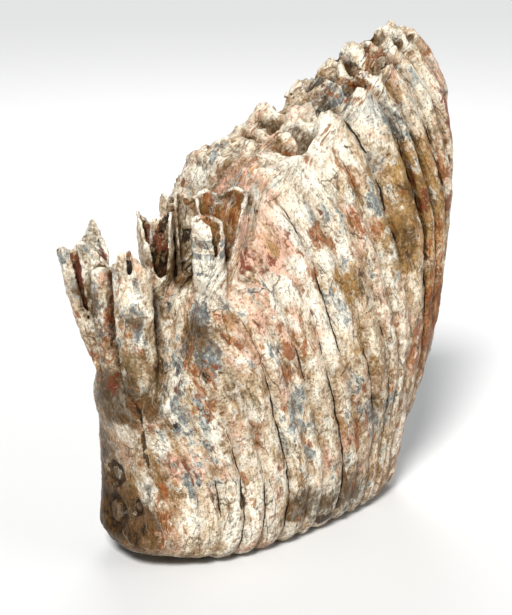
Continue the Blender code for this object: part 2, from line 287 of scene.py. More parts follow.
# %% [markdown]
# ## Relief of the sides
#
# Cement fills most of the hollows between plates, so low down the ribs barely show and only
# a thin dark seam is left in each groove. At the upper back the cement has weathered away
# and the ribs stand several millimetres proud. The front end has a swollen lobe with a neck
# above it.
#
# All of this is a height that depends on the place, so one function adds it up.

# %% Ribs, lobe and neck
SIDE_RIB = 0.0021           # depth of the ribs on most of the sides
BACK_RIB = 0.0060           # extra depth at the upper back
NECK_DEPTH = 0.0034
LOBE_HEIGHT = 0.0030
KNOB_HEIGHT = 0.0016
# The knobs that the ribs of the upper back begin with: x, y, height
RIB_KNOBS = ((0.0658, -0.0288, 0.1987), (0.0807, -0.0248, 0.2135), (0.0915, -0.0224, 0.2172),
             (0.1030, -0.0200, 0.2198))


def blob(points, centre, radius):
    """A round hill of height 1."""
    offsets = (points - np.array(centre)) / np.array(radius)
    return np.exp(-np.sum(offsets**2, axis=1))


def rib_relief(points, normals):
    """How far the ribs and grooves stand off the smooth side."""
    x, z = points[:, 0], points[:, 2]
    nearness = groove_nearness(rib_number(plate_count(x, z) + wander(points)))
    upper_back = ease((x - 0.048) / 0.034) * ease((z - 0.100) / 0.060)
    smooth_cement = blob(points, (0.012, -0.03, 0.160), (0.030, 0.06, 0.030))
    shallow_top = 1 - 0.55 * ease((z - 0.194) / 0.026)
    depth = SIDE_RIB * (1 - 0.7 * smooth_cement) + BACK_RIB * upper_back * shallow_top
    depth = depth * ease((x + 0.050) / 0.030) * ease(below_face(points) / 0.010)
    depth = depth * (1 - ease((np.abs(normals[:, 0]) - 0.72) / 0.22))
    cord = 1 - np.sqrt(np.clip(1 - (0.985 * nearness) ** 2, 0, 1))
    roundness = 0.35 + 0.45 * upper_back
    return -depth * ((1 - roundness) * nearness**2 + roundness * cord)


def side_relief(points, normals):
    """How far each point of the sides moves outwards."""
    z = points[:, 2]
    neck = -NECK_DEPTH * at_front(points, 0.045, 0.020) * np.exp(-((z - 0.105) / 0.006) ** 2)
    lobe = LOBE_HEIGHT * blob(points, (-0.070, 0.006, 0.084), (0.020, 0.020, 0.014))
    knobs = sum(KNOB_HEIGHT * blob(points, knob, (0.0050, 0.0080, 0.0050)) for knob in RIB_KNOBS)
    broad = 0.0016 * lumps(points, 0.045, 3.0) + 0.0009 * lumps(points, 0.013, 7.0)
    low_relief = (broad + front_step(points)) * ease(z / 0.012)
    return rib_relief(points, normals) + neck + lobe + knobs + low_relief


print("ribs are", round(SIDE_RIB / MM, 1), "to", round((SIDE_RIB + BACK_RIB) / MM, 1), "mm deep")

# %% [markdown]
# ## The broken root face
#
# On top the roots have been broken away, and the ends of the plates are left as crosswise
# walls with pits between them. The walls are lobed, because each plate ends in two or three
# pulp canals. We raise the walls and sink the gaps with a wave that follows the plate count,
# and add the pits and knobs that stand out one by one.

# %% Walls, gaps and pits
CAVITY = 0.0165             # depth of the gaps between walls
# Pits and knobs: x, y, radius, height
PITS_AND_KNOBS = (
    (0.031, 0.019, 0.0030, 0.009), (0.044, 0.0175, 0.0066, -0.012), (0.057, 0.022, 0.0060, 0.003),
    (0.022, -0.024, 0.0060, -0.010), (0.036, -0.017, 0.0052, -0.010), (0.056, -0.017, 0.0058, -0.010),
    (0.080, -0.011, 0.0080, -0.012), (0.092, -0.008, 0.0045, -0.004), (0.030, 0.008, 0.0050, -0.009),
    (0.046, 0.008, 0.0055, -0.012), (0.061, 0.010, 0.0060, -0.012), (-0.002, -0.014, 0.0080, 0.004),
    (0.004, 0.010, 0.0070, 0.004), (0.014, -0.004, 0.0060, -0.004), (0.072, 0.014, 0.0060, 0.002),
    (0.102, 0.004, 0.0080, 0.003), (-0.060, -0.026, 0.0070, 0.006), (-0.049, -0.030, 0.0050, -0.007),
    (0.000, 0.004, 0.0030, -0.004), (-0.010, -0.020, 0.0030, 0.003), (0.012, 0.014, 0.0030, -0.005),
    (0.020, -0.010, 0.0028, 0.004), (0.008, -0.022, 0.0030, -0.003), (0.066, -0.004, 0.0035, -0.006),
    (0.088, 0.006, 0.0035, -0.005), (0.096, -0.012, 0.0030, 0.003), (0.040, -0.006, 0.0035, -0.005),
    (-0.0085, 0.0205, 0.0019, 0.005), (-0.0060, 0.0160, 0.0022, -0.005), (-0.0045, 0.0120, 0.0018, 0.004),
    (-0.0020, 0.0085, 0.0020, 0.005), (0.0040, 0.0110, 0.0022, 0.004), (0.0120, 0.0160, 0.0018, 0.004),
    (0.0190, 0.0160, 0.0020, 0.005), (0.0250, 0.0140, 0.0022, -0.005),
)


def root_face_relief(points):
    """How high the root face stands: cross walls over the plates, with gaps and thin walls between."""
    x, y = points[:, 0], points[:, 1]
    bent = x + 0.0022 * lumps(points, 0.011, 41.0)
    nearness = groove_nearness(plate_count(bent, root_face_height(bent)))
    open_part = ease((x - 0.012) / 0.020)
    two_rows = 0.58 + 0.42 * np.cos((y + 0.016) / 0.024 * 2 * math.pi)
    uneven = lumps(points, 0.012, 15.5)
    gap = CAVITY * open_part * (0.17 + 0.35 * uneven - two_rows * ease((nearness - 0.36) / 0.30))
    crust = 0.0020 * crumble(points, 0.010, 11.0) + 0.0007 * crumble(points, 0.0035, 5.0)
    thin_walls = 0.0034 * (0.50 - 2.2 * np.abs(lumps(points, 0.0085, 8.0))) * (0.45 + 0.55 * open_part)
    return gap + crust + thin_walls


def pits_and_knobs(points):
    """The listed pits and knobs, as one height."""
    heights = np.zeros(len(points))
    for x, y, radius, height in PITS_AND_KNOBS:
        heights += height * np.exp(-((points[:, 0] - x) ** 2 + (points[:, 1] - y) ** 2) / radius**2)
    return heights


print(len(PITS_AND_KNOBS), "single pits and knobs")

# %% [markdown]
# ## Wrapping a skin
#
# A closed skin could be built face by face. Blender's grid operator already makes a flat
# sheet with all its faces, so we wrap that sheet like the label round a tin: its columns go
# round the tooth and its rows go up it. The two side edges meet, and an end row that shrinks
# to a seam or a point closes too, because merging doubles joins whatever coincides.

# %% Wrapping a sheet
def places_and_normals(vertices):
    """Where the vertices lie and which way they face, as two arrays."""
    return np.array([vertex.co for vertex in vertices]), np.array([vertex.normal for vertex in vertices])


def wrapped_sheet(rows):
    """Closes rows of points (row, column, xyz) into a skin with a bmesh grid."""
    row_count, column_count = rows.shape[:2]
    skin = bmesh.new()
    bmesh.ops.create_grid(skin, x_segments=column_count, y_segments=row_count - 1, size=1.0)
    skin.verts.ensure_lookup_table()
    closed = np.concatenate([rows, rows[:, :1]], axis=1).reshape(-1, 3)
    for vertex, place in zip(skin.verts, closed):
        vertex.co = place
    bmesh.ops.remove_doubles(skin, verts=skin.verts, dist=1e-6)
    bmesh.ops.recalc_face_normals(skin, faces=skin.faces)
    skin.normal_update()
    return skin


turns = np.linspace(0, 2 * math.pi, 6, endpoint=False)
tin = wrapped_sheet(np.array([np.stack([np.cos(turns), np.sin(turns), 0 * turns + z], 1) for z in (0, 1)]))
print("a tin of six columns and two rows has", len(tin.faces), "faces")
tin.free()

# %% [markdown]
# The crown's rows run from the middle of the chewing face, up the sides, and in again over
# the root face. Sides then move along their normals and the root face moves straight up, so
# that its thin walls don't lean into each other.

# %% The crown's skin
COLUMNS = 640
SIDE_ROWS = 250
FACE_ROWS = 46
UNDER_ROWS = 14
RIM_WALL = 0.0025           # cement left standing round the root face


def crown_rows():
    """Rows of points round the crown, and how many of them lie below the root face."""
    angles = np.linspace(0, 2 * math.pi, COLUMNS, endpoint=False)
    # The sides lean, so the height where each column meets the root face is found by trying
    tops = np.full(COLUMNS, 0.2)
    for _ in range(60):
        x, y = crown_slice(angles, tops)
        tops = np.clip(tops + 0.35 * (root_face_height(x, y) - tops), 0.06, TOP)
    rows = []
    x, y = crown_slice(angles, np.zeros(COLUMNS))
    middle = SLICES[0][3]
    for share in np.linspace(0, 1, UNDER_ROWS)[:-1]:
        rows.append(np.stack([x, middle + (y - middle) * share, front_lift(x, 0)], axis=1))
    for share in np.linspace(0, 1, SIDE_ROWS) ** 1.15:
        height = tops * share
        x, y = crown_slice(angles, height)
        rows.append(np.stack([x, y, height + front_lift(x, height)], axis=1))
    # On the root face the cheek half and the tongue half of a row meet on their middle line
    middle = (y + y[-np.arange(COLUMNS)]) / 2
    for share in np.linspace(1, 0, FACE_ROWS)[1:]:
        row_y = middle + (y - middle) * share
        rows.append(np.stack([x, row_y, np.minimum(root_face_height(x, row_y), TOP)], axis=1))
    return np.stack(rows), UNDER_ROWS - 1 + SIDE_ROWS


def rim_half_widths(rim):
    """Half widths of the root face along the tooth."""
    order = np.argsort(rim[:, 0])
    middle = curve_through(SLICES, 3, rim[:, 2])
    return rim[order, 0], np.abs(rim[:, 1] - middle)[order]


def crown_skin():
    """The crown, with the relief of its sides and of its root face."""
    rows, face_start = crown_rows()
    skin = wrapped_sheet(rows)
    points, normals = places_and_normals(skin.verts)
    on_root_face = np.exp(-np.clip(below_face(points), 0, 1) / 0.0004)
    middle = curve_through(SLICES, 3, points[:, 2])
    half_width = np.interp(points[:, 0], *rim_half_widths(rows[face_start - 1]))
    inside_rim = ease((half_width - np.abs(points[:, 1] - middle)) / (2 * RIM_WALL))
    chewing = points[:, 2] < 0.0005
    outward = side_relief(points, normals) * (1 - on_root_face) * ~chewing
    upward = (root_face_relief(points) * (0.3 + 0.7 * inside_rim) + pits_and_knobs(points)) * on_root_face
    for vertex, out, up in zip(skin.verts, outward, upward):
        vertex.co += vertex.normal * float(out) + Vector((0, 0, float(up)))
    return skin


crown = crown_skin()
print("crown skin:", len(crown.faces), "faces")

# %% [markdown]
# ## Hollow roots
#
# Each root is a thin-walled tube of dentine, snapped off at the top, so one looks into it
# past a ragged lip. The lip's height is what gives each root its character: a peak here, a
# whole side missing there. So the table gives, for each root, the lip's height in a few
# compass directions round it (0 is +X, 90 is +Y).
#
# The same wrapped sheet makes the tube: up the outside, over the lip, down the inside. Noise
# flutes the wall and frays the lip. The last columns of the table say what coats the inside.

# %% Table of the roots
Root = namedtuple("Root", "name foot tip lean radii flat turn wall floor rim fray lining lined_to",
                  defaults=(999,))
# foot and tip are the ends of the middle line, lean bows it in X, radii are at foot and tip,
# flat is narrow width over wide, turn is the wide way in degrees, floor is where the hollow
# ends, rim is (direction, height) round the lip, and the lining stops at the height lined_to.
# Lengths are in millimetres.
ROOTS = (
    Root("cheek_peak", (-60, -13, 85), (-68.2, -12, 156), -2, (9.0, 9.1), 0.85, 322, 2.0, 140,
         ((142, 159), (175, 162), (200, 168), (216, 170), (222, 168), (226, 157), (238, 156), (244, 160),
          (248, 168), (262, 166), (285, 160), (322, 154), (360, 154), (400, 160), (412, 166), (425, 164),
          (460, 160)), 0.4, {"soot": 1.0}, 164),
    Root("grey_column", (-62, 3, 85), (-74.5, 3, 157), -3, (7.0, 5.4), 0.9, 322, 2.0, 150,
         ((142, 157), (180, 156), (232, 158), (290, 156), (322, 156), (412, 158)), 0.5, {"drab": 0.6}),
    Root("far_blade", (-55, 17, 90), (-76.2, 16, 161), -3, (9.0, 12.3), 0.50, 322, 1.9, 122,
         ((142, 162), (170, 165), (180, 165), (185, 158), (189, 126), (208, 124), (214, 158), (220, 166),
          (232, 169), (260, 168), (290, 162), (318, 155), (330, 162), (341, 174), (348, 177), (362, 175),
          (380, 170), (400, 167), (425, 164), (460, 161)), 0.5, {"red": 1.0, "rust": 0.4}, 165),
    Root("far_front_stub", (-50, 32, 90), (-56, 33, 136), 0, (10.0, 8.0), 0.80, 30, 2.4, 124,
         ((40, 130), (120, 138), (200, 134), (300, 137)), 1.0, {"drab": 0.7, "soot": 0.3}),
    Root("banded_column", (-36, -33, 120), (-42.6, -37, 180), 0, (8.0, 7.6), 0.85, 322, 1.9, 158,
         ((142, 182), (180, 182), (205, 184), (232, 182), (248, 181), (256, 170), (268, 163), (282, 167),
          (295, 178), (322, 181), (360, 182), (412, 184), (460, 183)), 0.6, {"rust": 0.4, "ochre": 0.9}),
    Root("wide_cup", (-25, -28, 130), (-27.4, -28, 188), 0, (9.5, 12.2), 0.85, 322, 1.8, 152,
         ((142, 190), (120, 191), (100, 191), (75, 189), (52, 188), (35, 190), (20, 192), (0, 192),
          (-20, 191), (-38, 190), (-60, 187), (-80, 179), (-98, 166), (-115, 158), (-135, 158),
          (-160, 171), (-185, 179), (-202, 186)), 0.7, {"rust": 0.55, "ochre": 0.9, "drab": 0.7}),
    Root("open_half_tube", (-35, -9, 112), (-31.5, -8, 184), 0, (2.6, 7.4), 0.9, 322, 1.6, 128,
         ((142, 185), (120, 188), (100, 187), (52, 184), (10, 185), (-20, 181), (-38, 177), (-55, 170),
          (-70, 158), (-85, 144), (-128, 137), (-160, 140), (-175, 155), (-190, 169), (-205, 180)), 0.5,
         {"drab": 1.0, "soot": 0.35}),
    Root("horn", (-42, -5, 115), (-48.6, -4, 178), -1, (6.0, 8.2), 0.9, 322, 1.7, 140,
         ((142, 181), (120, 178), (90, 175), (52, 174), (10, 178), (-20, 180), (-38, 180), (-60, 178),
          (-72, 165), (-90, 150), (-128, 149), (-148, 152), (-157, 166), (-175, 166), (-190, 171),
          (-202, 177)), 0.6, {"red": 0.6, "soot": 0.5, "drab": 0.6}),
    Root("leaf", (-29, 8, 112), (-30.6, 8, 182), 0, (6.0, 5.4), 0.7, 322, 1.6, 165,
         ((142, 181), (170, 185), (200, 183), (232, 180), (300, 181), (322, 182), (412, 182)), 1.0,
         {"drab": 0.7}),
    Root("far_middle", (-34, 16, 112), (-38, 18, 168), 0, (8.0, 7.4), 0.65, 40, 1.8, 148,
         ((20, 166), (90, 160), (150, 168), (200, 171), (260, 168), (320, 172)), 1.2,
         {"rust": 0.5, "drab": 0.4}),
    Root("far_second_stub", (-36, 26, 110), (-38, 27, 143), 0, (11.0, 10.0), 0.80, 0, 2.4, 130,
         ((40, 138), (120, 146), (200, 141), (300, 144)), 1.0, {"drab": 0.6, "soot": 0.3}),
    Root("far_third_stub", (-22, 28, 120), (-24, 29, 156), 0, (10.0, 9.0), 0.80, 0, 2.4, 142,
         ((60, 150), (140, 158), (230, 155), (310, 159)), 1.0, {"drab": 0.6, "rust": 0.3}),
)
print("roots:", ", ".join(root.name for root in ROOTS))

# %% Root tubes
ROOT_COLUMNS = 110
OUTER_ROWS = 70
INNER_ROWS = 36


def lip_heights(root, directions):
    """The lip's height, in metres, in each compass direction."""
    known = np.array([direction % 360 for direction, _ in root.rim], dtype=float)
    heights = np.array([height for _, height in root.rim], dtype=float)
    order = np.argsort(known)
    return MM * np.interp(directions % 360, known[order], heights[order], period=360)


def root_middle(root, shares):
    """Points of the root's middle line at shares of its length."""
    foot, tip = MM * np.array(root.foot), MM * np.array(root.tip)
    middle = foot + (tip - foot) * shares[:, None]
    middle[:, 0] += MM * root.lean * np.sin(math.pi * np.clip(shares, 0, 1))
    return middle


def root_level(root, shares, wall, seed):
    """Points round the root at shares of its length, a wall's thickness in from its outside."""
    angles = np.linspace(0, 2 * math.pi, len(shares), endpoint=False)
    radius = MM * (root.radii[0] + (root.radii[1] - root.radii[0]) * shares)
    ring = np.stack([np.cos(angles), np.sin(angles), 0.0 * angles], axis=1)
    swell = 1 + 0.06 * lumps(ring + np.outer(shares * 3 + seed, (0, 0, 1)), 0.8)
    swell += 0.035 * lumps(ring * 3.2 + np.outer(shares + seed, (0, 0, 1)), 1.0)
    wide = (radius * swell - wall) * np.cos(angles)
    narrow = (radius * swell * root.flat - wall) * np.sin(angles)
    turn = math.radians(root.turn)
    points = root_middle(root, shares)
    points[:, 0] += wide * math.cos(turn) - narrow * math.sin(turn)
    points[:, 1] += wide * math.sin(turn) + narrow * math.cos(turn)
    return points


def root_skin(root, seed):
    """One root: up the outside, over the ragged lip, and down the inside to its floor."""
    angles = np.linspace(0, 2 * math.pi, ROOT_COLUMNS, endpoint=False)
    directions = root.turn + np.degrees(np.arctan2(root.flat * np.sin(angles), np.cos(angles)))
    ring = np.stack([np.cos(angles), np.sin(angles), 0.0 * angles], axis=1)
    fray = 0.0012 * root.fray * crumble(ring * 2.5 + seed, 1.0)
    fray = fray + 0.0007 * root.fray * lumps(ring * 9 + seed, 1.0)
    length = MM * (root.tip[2] - root.foot[2])
    lip = (lip_heights(root, directions) + fray - MM * root.foot[2]) / length
    floor = min((root.floor - root.foot[2]) * MM / length, float(lip.min()) - 0.03)
    wall = MM * root.wall
    rows = [np.repeat(root_middle(root, np.zeros(1)), ROOT_COLUMNS, axis=0)]
    rows += [root_level(root, lip * share, 0.0, seed) for share in np.linspace(0, 1, OUTER_ROWS)]
    rows.append(root_level(root, lip + 0.0004 / length, 0.5 * wall, seed))
    for share in np.linspace(0, 1, INNER_ROWS):
        rows.append(root_level(root, lip + (floor - lip) * share, wall, seed))
    rows.append(np.repeat(root_middle(root, np.full(1, floor)), ROOT_COLUMNS, axis=0))
    return wrapped_sheet(np.stack(rows))


roots = [root_skin(root, 2.3 * number + 1.0) for number, root in enumerate(ROOTS)]
print("root skins:", [len(skin.faces) for skin in roots])

# %% [markdown]
# ## Fusing the skins
#
# The skins only pass through each other so far. Boolean union could join them, but it leaves
# knife-sharp meetings where bone would have grown together. A voxel remesh reads all the
# skins as one volume and wraps it afresh in even quads, which rounds every meeting a little.
# Its grain has to be finer than the thinnest wall.

# %% Fusing
VOXEL = 0.00085


def merged(skins):
    """One mesh that holds all the skins."""
    mesh = bpy.data.meshes.new("skins")
    whole = bmesh.new()
    for skin in skins:
        skin.to_mesh(mesh)
        whole.from_mesh(mesh)
        skin.free()
    whole.to_mesh(mesh)
    whole.free()
    return mesh


def with_modifier(mesh, kind, **settings):
    """The mesh after one modifier."""
    holder = into_scene("holder", mesh)
    modifier = holder.modifiers.new(kind.lower(), kind)
    for name, value in settings.items():
        setattr(modifier, name, value)
    depsgraph = bpy.context.evaluated_depsgraph_get()
    depsgraph.update()
    result = bpy.data.meshes.new_from_object(holder.evaluated_get(depsgraph))
    bpy.data.objects.remove(holder)
    return result


def largest_piece(solid):
    """Deletes every shell but the largest, such as bubbles sealed between two roots."""
    unseen, largest = set(solid.verts), []
    while unseen:
        shell, front = [], [unseen.pop()]
        while front:
            vertex = front.pop()
            shell.append(vertex)
            for edge in vertex.link_edges:
                other = edge.other_vert(vertex)
                if other in unseen:
                    unseen.remove(other)
                    front.append(other)
        largest = max(largest, shell, key=len)
    kept = set(largest)
    bmesh.ops.delete(solid, geom=[v for v in solid.verts if v not in kept], context="VERTS")


tooth_mesh = with_modifier(merged([crown] + roots), "REMESH", mode="VOXEL", voxel_size=VOXEL)
solid = bmesh.new()
solid.from_mesh(tooth_mesh)
largest_piece(solid)
solid.normal_update()
print("fused:", len(solid.faces), "quads")

# %% [markdown]
# ## Open seams
#
# In each groove the cement has shrunk back from the next plate and left a seam. The seams
# aren't all alike. A table says where each opens wide, and a low noise breaks up the ones on
# the far side, which nobody listed. Their paths waver a little, so we shake the plate count
# before reading the rib number from it.

# %% Seams
# Open seams of the cheek side: groove number, highest and lowest point, how open it is
SEAMS = (
    (-1, 0.107, 0.002, 1.00), (-2, 0.056, 0.006, 0.80), (-3, 0.078, 0.008, 0.75), (-4, 0.050, 0.030, 0.90),
    (-5, 0.046, 0.020, 0.45), (0, 0.106, 0.070, 0.40), (1, 0.113, 0.092, 0.60), (2, 0.120, 0.094, 0.55),
    (2, 0.094, 0.010, 1.00), (3, 0.146, 0.100, 0.85), (3, 0.190, 0.158, 0.55), (4, 0.100, 0.062, 0.80),
    (5, 0.110, 0.094, 0.60), (6, 0.150, 0.040, 0.30), (7, 0.222, 0.196, 0.80), (7, 0.186, 0.140, 0.50),
    (8, 0.200, 0.076, 0.80), (9, 0.200, 0.120, 0.70), (10, 0.200, 0.100, 0.55), (0, 0.060, 0.010, 0.25),
    (1, 0.060, 0.010, 0.20), (5, 0.080, 0.030, 0.50), (4, 0.062, 0.030, 0.50), (6, 0.205, 0.160, 0.35),
)


def on_the_side(points, normals):
    """1 on the cheek and tongue sides, 0 on the two ends and the root face."""
    ends = ease((np.abs(normals[:, 0]) - 0.70) / 0.20)
    return ease(below_face(points) / 0.006) * (1 - ends) * (1 - ease((normals[:, 2] - 0.60) / 0.25))


def seam_openness(points, normals, rib):
    """How open the nearest seam is, from 0 to 1."""
    number = np.round(rib)
    height = points[:, 2]
    listed = np.zeros(len(points))
    for groove, highest, lowest, openness in SEAMS:
        reach = ease((highest - height) / 0.006 + 0.5) * ease((height - lowest) / 0.006 + 0.5)
        listed = np.maximum(listed, openness * reach * (number == groove))
    cheek = ease((0.012 - points[:, 1]) / 0.010)
    flow = np.stack([number * 3.7, points[:, 2] / 0.030, 0 * height], axis=1)
    unlisted = np.clip(0.40 + 0.9 * lumps(flow, 1.0, 9.0), 0, 1)
    patchy = 0.80 + 0.9 * lumps(points, 0.006, 33.0)
    return np.clip((listed * cheek + unlisted * (1 - cheek)) * patchy, 0, 1) * on_the_side(points, normals)


def wavering_rib(points, count):
    """The rib number, with seams that wander a little as real ones do."""
    return rib_number(count + wander(points) + 0.045 * crumble(points, 0.008, 37.0))


points, normals = places_and_normals(solid.verts)
count = plate_count(points[:, 0], points[:, 2])
rib = wavering_rib(points, count)
openness = seam_openness(points, normals, rib)
print("open seam over", round(100 * float(np.mean(openness > 0.5))), "% of the points")

# %% [markdown]
# ## Weathering the surface
#
# Now each point of the fused skin moves a fraction of a millimetre in or out: seams open in
# the grooves, the cement is pitted, and the broken parts are crusty. A bump map could fake
# this, but real relief also shows at the outline and in an exported model.

# %% Weathering
SEAM_DEPTH = 0.0012         # where a seam is fully open
SEAM_HALF_WIDTH = 0.0009
CREVICE_DEPTH = 0.0010      # of the dark line on the front end


def weathering(points, rib, openness):
    """How far each point moves outwards."""
    on_side = ease(below_face(points) / 0.006)
    from_seam = (1 - groove_nearness(rib)) * 0.5 * PLATE_PITCH
    seam = -SEAM_DEPTH * openness * np.exp(-(from_seam / SEAM_HALF_WIDTH) ** 2)
    fine = 0.00040 * crumble(points, 0.0055, 13.0) + 0.00018 * lumps(points, 0.0020, 17.0)
    crust = 0.0006 * crumble(points, 0.0045, 19.0) * (1 - on_side)
    flow = np.stack([rib * 1.6, points[:, 2] / 0.040, points[:, 1] / 0.030], axis=1)
    strakes = 0.00045 * crumble(flow, 1.0, 23.0) * on_side
    return seam + fine + crust + strakes - eye_rings(points)[1] - CREVICE_DEPTH * front_line(points)[0]


moves = weathering(points, rib, openness) * ease((points[:, 2] - 0.0006) / 0.004)
for vertex, move in zip(solid.verts, moves):
    vertex.co += vertex.normal * float(move)
print("weathering moves points", (moves.min() / MM).round(2), "to", (moves.max() / MM).round(2), "mm")

# %% [markdown]
# ## Standing flat
#
# The worn chewing face is what the tooth rests on. The bisect operator cuts it level and we
# fill the opening, as a saw and a file would. Then Decimate thins the flat parts of the skin
# and keeps its small facets for the edges that need them.

# %% Level cut and thinning
REST_CUT = 0.0004           # how much the cut takes off the chewing face
MOST_TRIANGLES = 190000

bmesh.ops.triangulate(solid, faces=solid.faces)
cut = bmesh.ops.bisect_plane(solid, geom=solid.verts[:] + solid.edges[:] + solid.faces[:], dist=1e-6,
                             plane_co=(0, 0, REST_CUT), plane_no=(0, 0, 1), clear_inner=True)
opening = [item for item in cut["geom_cut"] if isinstance(item, bmesh.types.BMEdge)]
bmesh.ops.holes_fill(solid, edges=opening, sides=0)
bmesh.ops.translate(solid, verts=solid.verts, vec=(0, 0, -REST_CUT))
bmesh.ops.triangulate(solid, faces=solid.faces)
solid.to_mesh(tooth_mesh)
share = min(1.0, MOST_TRIANGLES / len(solid.faces))
solid.free()
tooth_mesh = with_modifier(tooth_mesh, "DECIMATE", ratio=share)
tooth_mesh.name = "mammoth_tooth_fossil"
tooth_mesh.shade_smooth()
print("thinned to", len(tooth_mesh.polygons), "triangles")
